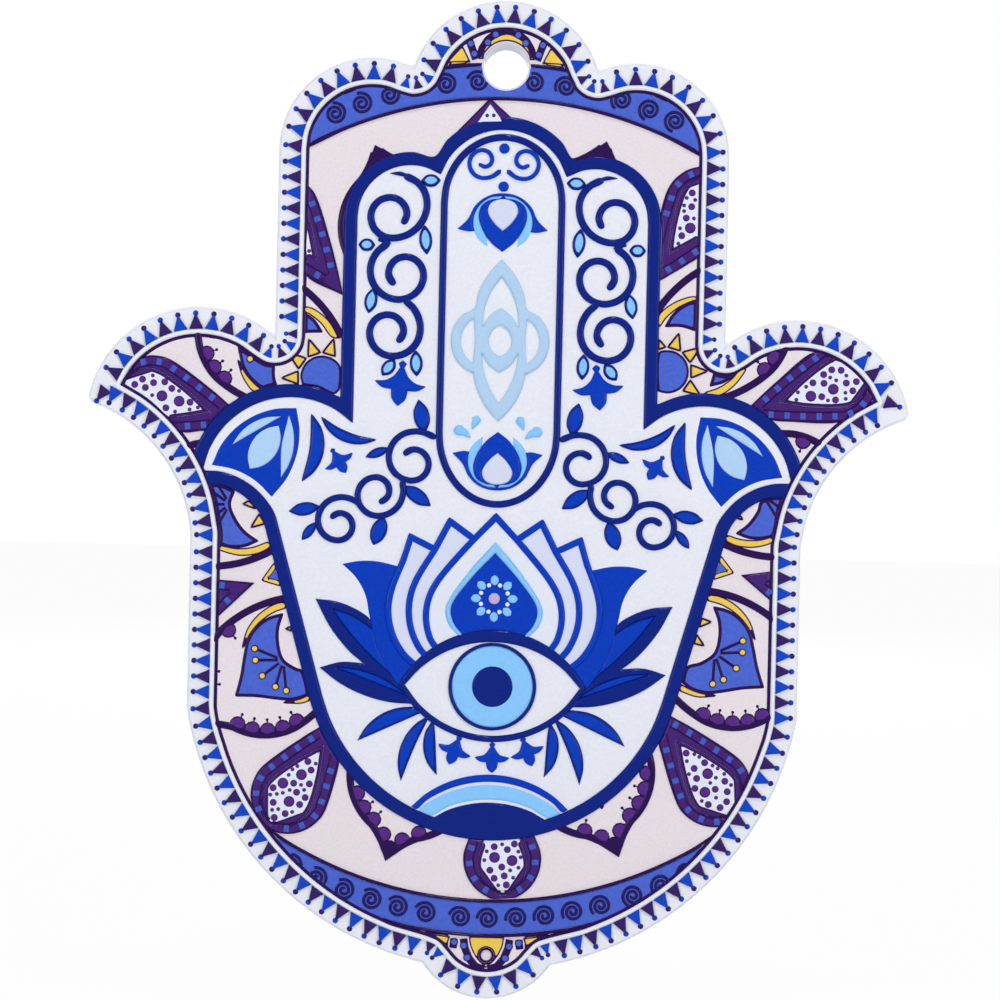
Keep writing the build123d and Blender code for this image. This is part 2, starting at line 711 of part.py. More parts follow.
# Side fingers
finger_tulip = without(tulip(-14.85, 16.9, 1, -6), finger_vines)
finger_leaf_drops = without(finger_drops, finger_vines, finger_tulip)
deposit("finger_vine_left", finger_vines, open_hand, on_ground, line_height)
deposit("finger_vine_right", finger_vines.mirror(Plane.YZ), open_hand, on_ground, line_height)
deposit("finger_leaf_drops", both_sides(finger_leaf_drops), open_hand, on_ground, line_height)
deposit("finger_tulips", both_sides(finger_tulip), open_hand, on_ground, line_height)

# Palm
palm_tulip = without(tulip(-23.7, 5.2, 0.62, 32), palm_vines)
palm_leaves = without(joined(palm_blades, curled_leaves), palm_vines, palm_tulip, finger_tulip)
thumb_inner_petals = without(thumb_inner_drawing, palm_leaves)
thumb_petals = without(thumb_petal_face, thumb_inner_drawing, palm_leaves, palm_vines)
deposit("palm_vine_left", palm_vines, open_hand, on_ground, line_height)
deposit("palm_vine_right", palm_vines.mirror(Plane.YZ), open_hand, on_ground, line_height)
deposit("palm_leaves", both_sides(palm_leaves), open_hand, on_ground, line_height)
deposit("palm_tulips", both_sides(palm_tulip), open_hand, on_ground, line_height)
deposit("thumb_petals", both_sides(thumb_petals), open_hand, on_ground, fill_height)
deposit("thumb_inner_petals", both_sides(thumb_inner_petals), open_hand, on_ground, fill_height)

# Lotus, with the eye in front of it
side_leaves = without(side_leaves_drawing, side_leaf_hearts_drawing)
white_petals = joined(front_petal_face, middle_petal_face, back_petal_face)
plain_petals = without(white_petals, petal_lines_drawing, rim_drawing, eye_outline_face)
lotus_rim = without(rim_drawing, heart_drawing, petal_lines_drawing, eye_outline_face)
outer_petals = without(outer_petal_face, white_petals, eye_outline_face)
deposit("lotus_outer_petals", outer_petals, open_hand, on_ground, fill_height)
deposit("lotus_petals", plain_petals, open_hand, on_ground, fill_height)
deposit("lotus_petal_lines", petal_lines_drawing, open_hand, on_ground, line_height)
deposit("lotus_heart_rim", lotus_rim, open_hand, on_ground, line_height)
deposit("lotus_heart", without(heart_drawing, eye_outline_face), open_hand, on_ground, fill_height)
rosette = without(facets(rosette_drawing.sketch), eye_outline_face)
deposit("lotus_rosette", rosette, open_hand, on_fill, fill_height)
deposit("lotus_side_leaves", both_sides(side_leaves), open_hand, on_ground, line_height)
deposit("side_leaf_hearts", both_sides(side_leaf_hearts_drawing), open_hand, on_ground, fill_height)

# Eye
iris_disc = disc(iris_radius, 0, eye_v)
iris_area = disc(iris_radius - iris_line, 0, eye_v)
lashes = without(both_sides(lash_drawing), eye_outline_face)
eye_tulips = joined(tulip(0.2, -38.8, 0.66, 0), both_sides(tulip(-5.5, -37.8, 0.66, -20)))
deposit("eye_lids", without(eye_outline_face, eye_opening_face), open_hand, on_ground, line_height)
deposit("iris_ring", without(iris_disc, iris_area), eye_opening_face, on_ground, line_height)
deposit("iris", iris_area, eye_opening_face, on_ground, fill_height)
deposit("pupil", disc(pupil_radius, 0, eye_v), iris_area, on_fill, fill_height)
deposit("lash_leaves", lashes, open_hand, on_ground, line_height)
deposit("eye_tulips", without(eye_tulips, eye_outline_face, lashes), open_hand, on_ground, line_height)

# Foot of the hand: a blue line, a light band and a dome, one inside the other
foot_area = without(hand_area, lashes, eye_tulips)
foot_line = without(arch(arch_v), arch(arch_v - arch_line))
foot_band = without(arch(band_v), arch(band_v - arch_band))
deposit("foot_arc_blue", foot_line, foot_area, on_ground, line_height)
deposit("foot_arc_light", foot_band, foot_area, on_ground, fill_height)
deposit("foot_dome", arch(band_v - arch_band - arch_gap), foot_area, on_ground, fill_height)

for name, piece in pieces.items():
    piece.part.label = name
    export_step(piece.part, f"parts/{name}.step")
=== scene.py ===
import math

import bmesh
import bpy
import numpy as np
from mathutils import Matrix, Vector, geometry, kdtree


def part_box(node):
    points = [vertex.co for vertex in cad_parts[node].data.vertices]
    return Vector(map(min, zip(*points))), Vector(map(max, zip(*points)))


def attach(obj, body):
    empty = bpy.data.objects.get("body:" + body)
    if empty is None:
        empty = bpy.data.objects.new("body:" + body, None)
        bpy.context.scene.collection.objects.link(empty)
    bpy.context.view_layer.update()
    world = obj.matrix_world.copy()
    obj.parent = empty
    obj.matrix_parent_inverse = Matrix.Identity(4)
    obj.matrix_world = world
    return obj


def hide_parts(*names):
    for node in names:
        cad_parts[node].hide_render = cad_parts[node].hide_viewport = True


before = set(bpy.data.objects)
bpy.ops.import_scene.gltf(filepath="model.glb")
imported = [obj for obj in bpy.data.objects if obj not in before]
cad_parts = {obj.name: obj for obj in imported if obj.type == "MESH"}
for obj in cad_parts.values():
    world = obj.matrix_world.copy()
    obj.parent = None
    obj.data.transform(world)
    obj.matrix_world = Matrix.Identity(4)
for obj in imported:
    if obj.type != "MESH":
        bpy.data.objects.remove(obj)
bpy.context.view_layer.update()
scene = bpy.context.scene
scene.view_settings.view_transform = "Standard"
print("frame loaded:", len(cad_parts), "nodes")

# The drawing lies on the plate's face: u to the right, v up from the ornament's centre, in millimetres
sheet = {"face": -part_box("plate")[0].y * 1000, "drop": 65.1}

inks = {  # as they look in plain light, 0 to 255
    "plate": (232, 234, 243),
    "bead": (233, 236, 245),
    "handWhite": (231, 234, 244),
    "blush": (232, 223, 230),
    "navy": (6, 34, 132),
    "royal": (0, 60, 190),
    "light": (137, 200, 253),
    "pale": (178, 209, 240),
    "thumbLight": (176, 210, 245),
    "lavender": (212, 218, 240),
    "petalWhite": (226, 230, 243),
    "periwinkle": (76, 104, 212),
    "gold": (240, 204, 85),
    "purple": (70, 34, 118),
    "fringePurple": (52, 30, 104),
    "fringeBlue": (14, 70, 198),
    "plum": (42, 10, 82),
    "violet": (88, 42, 134),
    "dashBlue": (70, 94, 196),
    "spiral": (36, 22, 100),
    "rose": (198, 178, 216),
}


def linear(colour):
    shares = [c / 255 for c in colour]
    return tuple(s / 12.92 if s < 0.0405 else ((s + 0.055) / 1.055) ** 2.4 for s in shares) + (1.0,)


# A node socket that can be used in sums
class Wire:
    def __init__(self, tree, socket):
        self.tree = tree
        self.socket = socket

    def node(self, kind, sockets=None, out=0, **settings):
        made = self.tree.nodes.new(kind)
        for key, value in settings.items():
            setattr(made, key, value)
        for key, value in (sockets or {}).items():
            if isinstance(value, Wire):
                self.tree.links.new(value.socket, made.inputs[key])
            else:
                made.inputs[key].default_value = value
        return Wire(self.tree, made.outputs[out] if made.outputs else None)

    def maths(self, operation, first, second, clamp=False):
        return self.node("ShaderNodeMath", {0: first, 1: second}, operation=operation, use_clamp=clamp)

    def mixed(self, first, second):
        return self.node("ShaderNodeMix", {0: self, 6: first, 7: second}, 2, data_type="RGBA")

    def clamped(self):
        return self.maths("ADD", self, 0.0, clamp=True)

    def __add__(self, other):
        return self.maths("ADD", self, other)

    def __sub__(self, other):
        return self.maths("SUBTRACT", self, other)

    def __rsub__(self, other):
        return self.maths("SUBTRACT", other, self)

    def __mul__(self, other):
        return self.maths("MULTIPLY", self, other)

    def __truediv__(self, other):
        return self.maths("DIVIDE", self, other)

    def __rtruediv__(self, other):
        return self.maths("DIVIDE", other, self)

    __radd__ = __add__
    __rmul__ = __mul__


# Cured ink: an even colour with a fine grain, an orange-peel skin and, where asked, a printed edge
inkLook = {
    "grain": {"Scale": 2600, "Detail": 2.0}, "grainFrom": 0.35, "contrast": 3.0, "edgeSoft": 0.06,
    "peel": {"Scale": 1500, "Detail": 1.0}, "bump": {"Strength": 0.35, "Distance": 0.000012},
    "coat": {"Specular IOR Level": 0.0, "Coat Roughness": 0.06, "Coat IOR": 1.36},
}


def freshTree(owner):
    owner.use_nodes = True
    owner.node_tree.nodes.clear()
    return owner.node_tree


# A finish, paired with a slot name
def inkFinish(name, slot, ink, edge=None, edgeWidth=0.0, beyond=None, gloss=0.3, rough=0.3, shade=0.86):
    finish = bpy.data.materials.new(name)
    tree = freshTree(finish)
    place = Wire(tree, tree.nodes.new("ShaderNodeTexCoord").outputs["Object"])
    grain = place.node("ShaderNodeTexNoise", {"Vector": place, **inkLook["grain"]})
    peel = place.node("ShaderNodeTexNoise", {"Vector": place, **inkLook["peel"]})
    bright = linear(inks[ink])
    dim = tuple(c * shade for c in bright[:3]) + (1.0,)
    skin = ((grain - inkLook["grainFrom"]) * inkLook["contrast"]).clamped().mixed(dim, bright)
    if edge:
        rim = place.node("ShaderNodeAttribute", out=2, attribute_name="rim")
        inside = ((rim - edgeWidth) / inkLook["edgeSoft"]).clamped()
        skin = inside.mixed(linear(inks[edge]), skin)
        if beyond:
            skin = (rim / inkLook["edgeSoft"]).clamped().mixed(linear(inks[beyond]), skin)
    bump = place.node("ShaderNodeBump", {"Height": peel, **inkLook["bump"]})
    body = place.node("ShaderNodeBsdfPrincipled", {
        "Base Color": skin, "Roughness": rough, "Coat Weight": gloss, "Normal": bump, **inkLook["coat"]})
    place.node("ShaderNodeOutputMaterial", {"Surface": body})
    return finish, slot


finishes = {
    "plate": inkFinish("plateSatin", "plate_white", "plate", gloss=0.1, rough=0.45, shade=0.97),
    "bead": inkFinish("beadWhiteInk", "bead_white", "bead", shade=0.97),
    "handWhite": inkFinish("handWhiteInk", "hand_white", "handWhite", gloss=0.15, rough=0.45, shade=0.95),
    "blush": inkFinish("blushInk", "blush", "blush", gloss=0.15, rough=0.45, shade=0.94),
    "navy": inkFinish("navyInk", "navy", "navy"),
    "royal": inkFinish("royalInk", "royal", "royal"),
    "royalEdged": inkFinish("royalInkNavyEdge", "royal", "royal", "navy", 0.32),
    "light": inkFinish("lightBlueInk", "light_blue", "light", shade=0.95),
    "lightEdged": inkFinish("lightBlueInkNavyEdge", "light_blue", "light", "navy", 0.38),
    "pale": inkFinish("paleBlueInk", "pale_blue", "pale", shade=0.95),
    "thumbLight": inkFinish("thumbBlueInk", "pale_blue", "thumbLight", shade=0.95),
    "lavender": inkFinish("lavenderInk", "lavender", "lavender", gloss=0.25, rough=0.4, shade=0.97),
    "petalWhite": inkFinish("petalWhiteInk", "blush", "petalWhite", gloss=0.25, rough=0.4, shade=0.97),
    "periwinkle": inkFinish("periwinkleInk", "periwinkle", "periwinkle"),
    "periwinkleEdged": inkFinish("periwinkleInkPlumEdge", "periwinkle", "periwinkle", "plum", 0.5),
    "domeEdged": inkFinish("domeInkPlumEdge", "periwinkle", "periwinkle", "plum", 0.35),
    "goldEdged": inkFinish("goldInkPlumEdge", "gold", "gold", "plum", 0.22, shade=0.92),
    "goldDot": inkFinish("goldDotInk", "gold", "gold", "plum", 0.3, shade=0.92),
    "periwinkleDot": inkFinish("periwinkleDotInk", "periwinkle", "periwinkle", "plum", 0.25),
    "purpleEdged": inkFinish("purpleInkPlumEdge", "purple", "purple", "plum", 0.3),
    "petalField": inkFinish(
        "petalFieldInk", "blush", "petalWhite", "plum", 0.24, "purple", gloss=0.25, shade=0.97),
    "fringePurple": inkFinish("fringePurpleInk", "purple", "fringePurple"),
    "fringeBlue": inkFinish("fringeBlueInk", "royal", "fringeBlue"),
    "plum": inkFinish("plumInk", "dark_purple", "plum"),
    "violetEdged": inkFinish("violetInkPlumEdge", "purple", "violet", "plum", 0.17),
    "spiral": inkFinish("spiralInk", "dark_purple", "spiral"),
    "dashBlue": inkFinish("dashBlueInk", "royal", "dashBlue"),
    "rose": inkFinish("roseInk", "lavender", "rose", shade=0.95),
    "lotusPetal": inkFinish("lotusPetalInk", "lavender", "petalWhite", "lavender", 0.5, gloss=0.25, shade=0.97),
}
print("finishes ready:", len(finishes))


# The outlines of a node's front face, solid to the left of each
def frontLoops(node, tolerance=0.002):
    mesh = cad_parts[node].data
    mesh.calc_loop_triangles()
    spots = np.array([v.co for v in mesh.vertices]) * 1000
    height = -spots[:, 1] - sheet["face"]
    top, base = height.max(), height.min()
    ids = {}
    spotIds = [ids.setdefault((round(x, 3), round(z + sheet["drop"], 3)), len(ids)) for x, _, z in spots]
    sides = set()
    for triangle in mesh.loop_triangles:
        if min(height[i] for i in triangle.vertices) > top - tolerance:
            a, b, c = (spotIds[i] for i in triangle.vertices)
            for side in ((a, b), (b, c), (c, a)):
                if side[::-1] in sides:
                    sides.remove(side[::-1])
                else:
                    sides.add(side)
    places = np.array(list(ids))
    follow = {}
    for a, b in sides:
        follow.setdefault(a, []).append(b)
    loops = []
    while follow:
        start = next(iter(follow))
        chain = [start]
        while True:
            ends = follow[chain[-1]]
            step = ends.pop()
            if not ends:
                del follow[chain[-1]]
            if step == start or step not in follow:
                break
            chain.append(step)
        if len(chain) > 2:
            loops.append(places[chain])
    return loops, base, top - base


def area(loop):
    ahead = np.roll(loop, -1, 0)
    return float((loop[:, 0] * ahead[:, 1] - ahead[:, 0] * loop[:, 1]).sum() / 2)


# Which points lie inside the outlines
def within(points, loops, batch=4000):
    points = np.asarray(points, float).reshape(-1, 2)
    odd = np.zeros(len(points), bool)
    for loop in loops:
        ahead = np.roll(loop, -1, 0)
        across, climb = (ahead - loop).T
        slope = across / np.where(climb == 0, 1, climb)
        for part in range(0, len(points), batch):
            x, y = (column[:, None] for column in points[part : part + batch].T)
            spans = (loop[:, 1] > y) != (ahead[:, 1] > y)
            hit = spans & (x < loop[:, 0] + (y - loop[:, 1]) * slope)
            odd[part : part + batch] ^= hit.sum(1) % 2 == 1
    return odd


# Outer outlines, each with the holes in it
def regions(loops):
    outers = [loop for loop in loops if area(loop) > 0]
    found = [[loop] for loop in outers]
    for hole in loops:
        if area(hole) < 0:
            holders = [i for i, outer in enumerate(outers) if within(hole[:1], [outer])[0]]
            if holders:
                found[min(holders, key=lambda i: area(outers[i]))].append(hole)
    return found


smoothing = {"spacing": 0.32, "corner": 70.0, "longRun": 3.0, "straight": 9.0}


# The outline's straight runs made round again, with its real corners kept
def smoothLoop(loop):
    count = len(loop)
    before = loop - np.roll(loop, 1, 0)
    after = np.roll(loop, -1, 0) - loop
    turn = np.degrees(np.abs(np.arctan2(
        before[:, 0] * after[:, 1] - before[:, 1] * after[:, 0], (before * after).sum(1))))
    sharp = turn > smoothing["corner"]
    run = np.linalg.norm(after, axis=1)
    points = []
    for i in range(count):
        j = (i + 1) % count
        p1, p2 = loop[i], loop[j]
        p0, p3 = loop[i - 1], loop[(i + 2) % count]
        long = run[i] > smoothing["straight"]
        if sharp[i] or (long and run[i] > smoothing["longRun"] * run[i - 1]):
            p0 = 2 * p1 - p2
        if sharp[j] or (long and run[i] > smoothing["longRun"] * run[j]):
            p3 = 2 * p2 - p1
        k0, k1, k2 = (max(np.linalg.norm(b - a), 1e-6) ** 0.5 for a, b in ((p0, p1), (p1, p2), (p2, p3)))
        m1 = (p2 - p1) + k1 * ((p1 - p0) / k0 - (p2 - p0) / (k0 + k1))
        m2 = (p2 - p1) + k1 * ((p3 - p2) / k2 - (p3 - p1) / (k1 + k2))
        steps = max(1, math.ceil(run[i] / smoothing["spacing"]))
        t = (np.arange(steps) / steps)[:, None]
        points.append((2 * t**3 - 3 * t**2 + 1) * p1 + (t**3 - 2 * t**2 + t) * m1
                      + (3 * t**2 - 2 * t**3) * p2 + (t**3 - t**2) * m2)
    return np.vstack(points)


# Unit normals to the left of each direction, and of each point of an outline
def toLeft(along):
    along = along / np.maximum(np.linalg.norm(along, axis=1), 1e-9)[:, None]
    return np.column_stack([-along[:, 1], along[:, 0]])


def leftNormals(loop):
    return toLeft(np.roll(loop, -1, 0) - np.roll(loop, 1, 0))


def pointTree(points):
    tree = kdtree.KDTree(len(points))
    for i, (u, v) in enumerate(points):
        tree.insert((u, v, 0), i)
    tree.balance()
    return tree


# How far points lie from the nearest spot
def gaps(points, spots):
    tree = pointTree(spots)
    return np.array([tree.find((u, v, 0))[2] for u, v in np.asarray(points)[:, :2]])


# How far points lie from the nearest outline
class Fence:
    def __init__(self, loops):
        self.start = np.vstack(loops)
        self.ahead = np.vstack([np.roll(loop, -1, 0) for loop in loops])
        self.back = np.vstack([np.roll(loop, 1, 0) for loop in loops])
        self.tree = pointTree(self.start)

    def distance(self, points):
        points = np.asarray(points, float).reshape(-1, 2)
        near = [self.tree.find((u, v, 0))[1] for u, v in points]
        away = points - self.start[near]
        found = []
        for far in (self.ahead[near], self.back[near]):
            side = far - self.start[near]
            share = (away * side).sum(1) / np.maximum((side**2).sum(1), 1e-12)
            found.append(np.linalg.norm(away - np.clip(share, 0, 1)[:, None] * side, axis=1))
        return np.minimum(*found)


# Triangles that fill the outlines, through the points
def fillArea(points, loops, weld=1e-5):
    sides, start = [], 0
    for loop in loops:
        count = len(loop)
        sides += [(start + i, start + (i + 1) % count) for i in range(count)]
        start += count
    made = geometry.delaunay_2d_cdt([Vector(p) for p in points], sides, [], 0, weld)
    spots = np.array([tuple(p) for p in made[0]])
    faces = np.array(made[2], int).reshape(-1, 3)
    return spots, faces[within(spots[faces].mean(1), loops)]


pillowShape = {"rings": (0.08, 0.3, 0.62, 1.0), "clear": 0.93, "sink": 0.06}


# Ink with a round edge, closed underneath: points are (u, v, height)
def pillowMesh(loops, base, rise, soft, spacing=None):
    spots, faces, rims = [], [], []
    for region in regions(loops):
        fence = Fence(region)
        edge = np.vstack(region)
        inner = []
        for share in pillowShape["rings"]:
            ring = np.vstack([loop + leftNormals(loop) * share * soft for loop in region])
            clear = fence.distance(ring) > share * soft * pillowShape["clear"]
            inner.append(ring[clear & within(ring, region)])
        if spacing:
            steps = (np.arange(low, high, spacing) for low, high in zip(edge.min(0), edge.max(0)))
            grid = np.stack(np.meshgrid(*steps), -1).reshape(-1, 2)
            grid = grid[within(grid, region)]
            inner.append(grid[fence.distance(grid) > soft])
        points, tops = fillArea(np.vstack([edge] + inner), region)
        rim = np.minimum(fence.distance(points), soft)
        height = base + rise * np.sqrt(1 - (1 - rim / soft) ** 2)
        start = len(spots)
        spots += [(u, v, h) for (u, v), h in zip(points, height)]
        rims += list(rim)
        faces += [tuple(start + i for i in face) for face in tops]
        lower, unders = fillArea(edge, region)
        floor = len(spots)
        spots += [(u, v, base - pillowShape["sink"]) for u, v in lower]
        rims += [0.0] * len(lower)
        faces += [tuple(floor + i for i in face[::-1]) for face in unders]
        count = 0
        for loop in region:
            for i in range(len(loop)):
                a, b = count + i, count + (i + 1) % len(loop)
                faces.append((start + b, start + a, floor + a, floor + b))
            count += len(loop)
    return spots, faces, rims


def toWorld(spots):
    spots = np.asarray(spots, float)
    return np.column_stack([spots[:, 0], -sheet["face"] - spots[:, 2], spots[:, 1] - sheet["drop"]]) / 1000


def placeNew(name, data):
    made = bpy.data.objects.new(name, data)
    scene.collection.objects.link(made)
    return made


def setValues(mesh, label, values):
    layer = mesh.attributes.get(label) or mesh.attributes.new(label, "FLOAT", "POINT")
    layer.data.foreach_set("value", np.asarray(values, np.float32))


def meshPiece(name, spots, faces, rims):
    mesh = bpy.data.meshes.new(name)
    mesh.from_pydata([tuple(p) for p in spots], [], faces)
    setValues(mesh, "rim", rims)
    mesh.shade_smooth()
    mesh.validate()
    return placeNew(name, mesh)


def setPiece(made, finish, *nodes, slot=None):
    material, usual = finishes[finish]
    made.data.materials.clear()
    made.data.materials.append(material)
    if nodes:
        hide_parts(*nodes)
    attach(made, "root")
    return made


# A piece made of drawn points, faces and rims
def layPiece(name, form, finish, *nodes, slot=None):
    spots, faces, rims = form
    return setPiece(meshPiece(name, toWorld(spots), faces, rims), finish, *nodes, slot=slot)


outlines = {}


def outlineOf(node):
    if node not in outlines:
        loops, base, rise = frontLoops(node)
        outlines[node] = [smoothLoop(loop) for loop in loops], base, rise
    return outlines[node]


# Inks that run a little wider than their solids
swell = {
    "flower_fields": 0.12, "flower_crescents": 0.22, "flower_rays": 0.2, "star_points_gold": 0.15,
    "lotus_petal_lines": 0.17, "finger_vine_left": 0.06, "finger_vine_right": 0.06, "finger_leaf_drops": 0.18,
    "palm_leaves": 0.12, "finger_curls": 0.1, "finger_drop_pair": 0.08, "eye_lids": 0.14, "eye_tulips": 0.12,
    "finger_tulips": 0.08, "palm_tulips": 0.08,
}
# Pieces that don't carry their node's name as one word
pieceNames = {
    "border_bead": "beadInk", "finger_panel_line": "panelLine", "finger_drop_pair": "fingerDrops",
    "iris": "irisDisc", "pupil": "pupilDome",
}
# The foot's dome reaches further down than its solid and lies level with its neighbour
dome = {"node": "foot_dome", "sag": 0.8, "facing": 0.2, "level": 0.41}


def relief(node, finish, soft, slot=None):
    first, *rest = node.split("_")
    name = pieceNames.get(node) or first + "".join(word.capitalize() for word in rest)
    loops, base, rise = outlineOf(node)
    if node in swell:
        loops = [loop - leftNormals(loop) * swell[node] for loop in loops]
    if node == dome["node"]:
        sags = [np.where(leftNormals(loop)[:, 1:] > dome["facing"], dome["sag"], 0) for loop in loops]
        loops = [loop - leftNormals(loop) * sag for loop, sag in zip(loops, sags)]
        rise = dome["level"] - base
    return layPiece(name, pillowMesh(loops, base, rise, soft), finish, node, slot=slot)


def straightLoop(corners, step=0.3):
    corners = np.array(corners, float)
    corners = corners if area(corners) > 0 else corners[::-1]
    sides = []
    for a, b in zip(corners, np.roll(corners, -1, 0)):
        steps = max(1, math.ceil(math.dist(a, b) / step))
        sides.append(a + (b - a) * (np.arange(steps) / steps)[:, None])
    return np.vstack(sides)


def inkArea(name, shapes, look, finish, base=0.0):
    loops = [straightLoop(shape) for shape in shapes]
    return layPiece(name, pillowMesh(loops, base, look["rise"], look["soft"]), finish)


def bothSides(shapes):
    return [np.array(shape, float) * (s, 1) for shape in shapes for s in (1, -1)]


# Plate: the cut board with its sharp rims broken
board = {"weld": 0.0001, "flat": 0.002, "rim": 1.0, "bevel": 0.00035, "segments": 3, "crease": 0.6}
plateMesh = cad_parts["plate"].data.copy()
boardForm = bmesh.new()
boardForm.from_mesh(plateMesh)
bmesh.ops.remove_doubles(boardForm, verts=boardForm.verts, dist=board["weld"])
bmesh.ops.dissolve_limit(boardForm, angle_limit=board["flat"], verts=boardForm.verts, edges=boardForm.edges)
rimEdges = [e for e in boardForm.edges if len(e.link_faces) == 2 and e.calc_face_angle() > board["rim"]]
bevelled = set(bmesh.ops.bevel(
    boardForm, geom=rimEdges, offset=board["bevel"], segments=board["segments"], affect="EDGES")["faces"])
for face in boardForm.faces:
    face.smooth = True
for edge in boardForm.edges:
    sameSide = len({face in bevelled for face in edge.link_faces}) == 1
    edge.smooth = sameSide and edge.calc_face_angle(0) < board["crease"]
bmesh.ops.triangulate(boardForm, faces=boardForm.faces)
boardForm.to_mesh(plateMesh)
boardForm.free()
setPiece(placeNew("cutBoard", plateMesh), "plate", "plate")
print("plate done")

# Raised inks that keep their nodes' outlines: finish, width of the round edge and any slot but the usual
reliefs = {
    "border_bead": ("bead", 0.37),
    "ring_band_top ring_band_bottom": ("periwinkle", 0.3),
    "ring_edges": ("plum", 0.25),
    "flower_fields": ("periwinkleEdged", 0.6),
    "flower_crescents": ("goldEdged", 0.6),
    "flower_domes": ("domeEdged", 0.6),
    "flower_rays star_points_gold": ("goldEdged", 0.5),
    "star_points_blue": ("periwinkle", 0.5),
    "top_lobe_gold foot_lobe_gold": ("goldEdged", 0.6),
    "foot_lobe_ring": ("plum", 0.3, "purple"),
    "hand_band": ("navy", 0.45),
    "hand_ground": ("handWhite", 0.2),
    "finger_panel_line": ("navy", 0.5),
    "finger_curls": ("royal", 0.35),
    "finger_dots bud_leaves": ("royal", 0.5),
    "bud_petals": ("light", 0.5, "pale_blue"),
    "bud_bodies": ("royal", 0.5),
    "bud_hearts": ("lavender", 0.5),
    "finger_knot": ("pale", 0.5),
    "finger_drop_pair": ("light", 0.4),
    "finger_vine_left finger_vine_right": ("navy", 0.47),
    "finger_leaf_drops": ("lightEdged", 0.6),
    "finger_tulips": ("royal", 0.5),
    "palm_vine_left palm_vine_right": ("navy", 0.47),
    "palm_leaves": ("royalEdged", 0.6),
    "palm_tulips thumb_petals": ("royal", 0.5),
    "thumb_inner_petals": ("thumbLight", 0.5),
    "lotus_outer_petals": ("royal", 0.5),
    "lotus_petals": ("lotusPetal", 0.5),
    "lotus_petal_lines": ("royal", 0.4),
    "lotus_heart_rim": ("light", 0.5),
    "lotus_heart": ("royal", 0.6),
    "lotus_rosette": ("light", 0.35),
    "lotus_side_leaves": ("navy", 0.6),
    "side_leaf_hearts": ("royal", 0.5),
    "eye_lids": ("navy", 0.5),
    "iris_ring": ("navy", 0.25),
    "iris": ("light", 0.6),
    "pupil": ("navy", 0.8),
    "lash_leaves": ("royalEdged", 0.6),
    "eye_tulips": ("royal", 0.5),
    "foot_arc_blue": ("royal", 0.45),
    "foot_arc_light": ("light", 0.5),
    "foot_dome": ("navy", 0.45),
}
dressed = {node: relief(node, *look) for nodes, look in reliefs.items() for node in nodes.split()}

# The front petal of the lotus is whiter than those behind it
lotusMesh = dressed["lotus_petals"].data
frontPetals = [loop for loop in outlineOf("lotus_petals")[0]
               if area(loop) > 0 and loop[:, 0].min() < 0 < loop[:, 0].max()]
lotusSpots = np.array([(v.co.x * 1000, v.co.z * 1000 + sheet["drop"]) for v in lotusMesh.vertices])
onEdge = gaps(lotusSpots, np.vstack(frontPetals)) < 0.01
setValues(lotusMesh, "rim", within(lotusSpots, frontPetals) | onEdge)
print("reliefs done:", len(dressed))


# Geometry Nodes trees, both drawn flat and then stood up on the plate's face
def newTree(name, inputs):
    tree = bpy.data.node_groups.new(name, "GeometryNodeTree")
    tree.interface.new_socket("Geometry", in_out="INPUT", socket_type="NodeSocketGeometry")
    for label, kind in inputs.items():
        tree.interface.new_socket(label, in_out="INPUT", socket_type=kind)
    tree.interface.new_socket("Geometry", in_out="OUTPUT", socket_type="NodeSocketGeometry")
    start = tree.nodes.new("NodeGroupInput")
    return {socket.name: Wire(tree, socket) for socket in start.outputs if socket.name}


def standUp(flat, finish, scale=(1, 1, 1)):
    upright = flat.node("GeometryNodeTransform", {
        "Geometry": flat,
        "Translation": (0, -sheet["face"] / 1000, -sheet["drop"] / 1000),
        "Rotation": (math.pi / 2, 0, 0),
        "Scale": scale,
    })
    real = flat.node("GeometryNodeRealizeInstances", {"Geometry": upright})
    inked = flat.node("GeometryNodeSetMaterial", {"Geometry": real, "Material": finish})
    flat.node("NodeGroupOutput", {"Geometry": inked})
    return flat.tree


# One shape on every point, with the point's own turn and size
def stampTree():
    given = newTree("inkStamp", {"Shape": "NodeSocketObject", "Finish": "NodeSocketMaterial"})
    points = given["Geometry"]
    shape = points.node(
        "GeometryNodeObjectInfo", {"Object": given["Shape"]}, "Geometry", transform_space="ORIGINAL")
    turn, size = (points.node("GeometryNodeInputNamedAttribute", {"Name": label}, data_type="FLOAT")
                  for label in ("turn", "size"))
    spin = points.node("FunctionNodeEulerToRotation", {
        "Euler": points.node("ShaderNodeCombineXYZ", {"Z": turn})})
    placed = points.node("GeometryNodeInstanceOnPoints", {
        "Points": points, "Instance": shape, "Rotation": spin, "Scale": size})
    return standUp(placed, given["Finish"])


# A bead of ink along every path
def lineTree(sides=8):
    given = newTree("inkLine", {
        "Width": "NodeSocketFloat", "Flatness": "NodeSocketFloat", "Finish": "NodeSocketMaterial"})
    path = given["Geometry"].node("GeometryNodeMeshToCurve", {"Mesh": given["Geometry"]})
    profile = path.node("GeometryNodeCurvePrimitiveCircle", {
        "Resolution": sides, "Radius": given["Width"] * 0.5}, mode="RADIUS")
    bead = path.node("GeometryNodeCurveToMesh", {"Curve": path, "Profile Curve": profile, "Fill Caps": True})
    smooth = path.node("GeometryNodeSetShadeSmooth", {"Geometry": bead})
    low = path.node("ShaderNodeCombineXYZ", {"X": 1.0, "Y": 1.0, "Z": given["Flatness"]})
    return standUp(smooth, given["Finish"], low)


trees = {"stamp": stampTree(), "line": lineTree()}


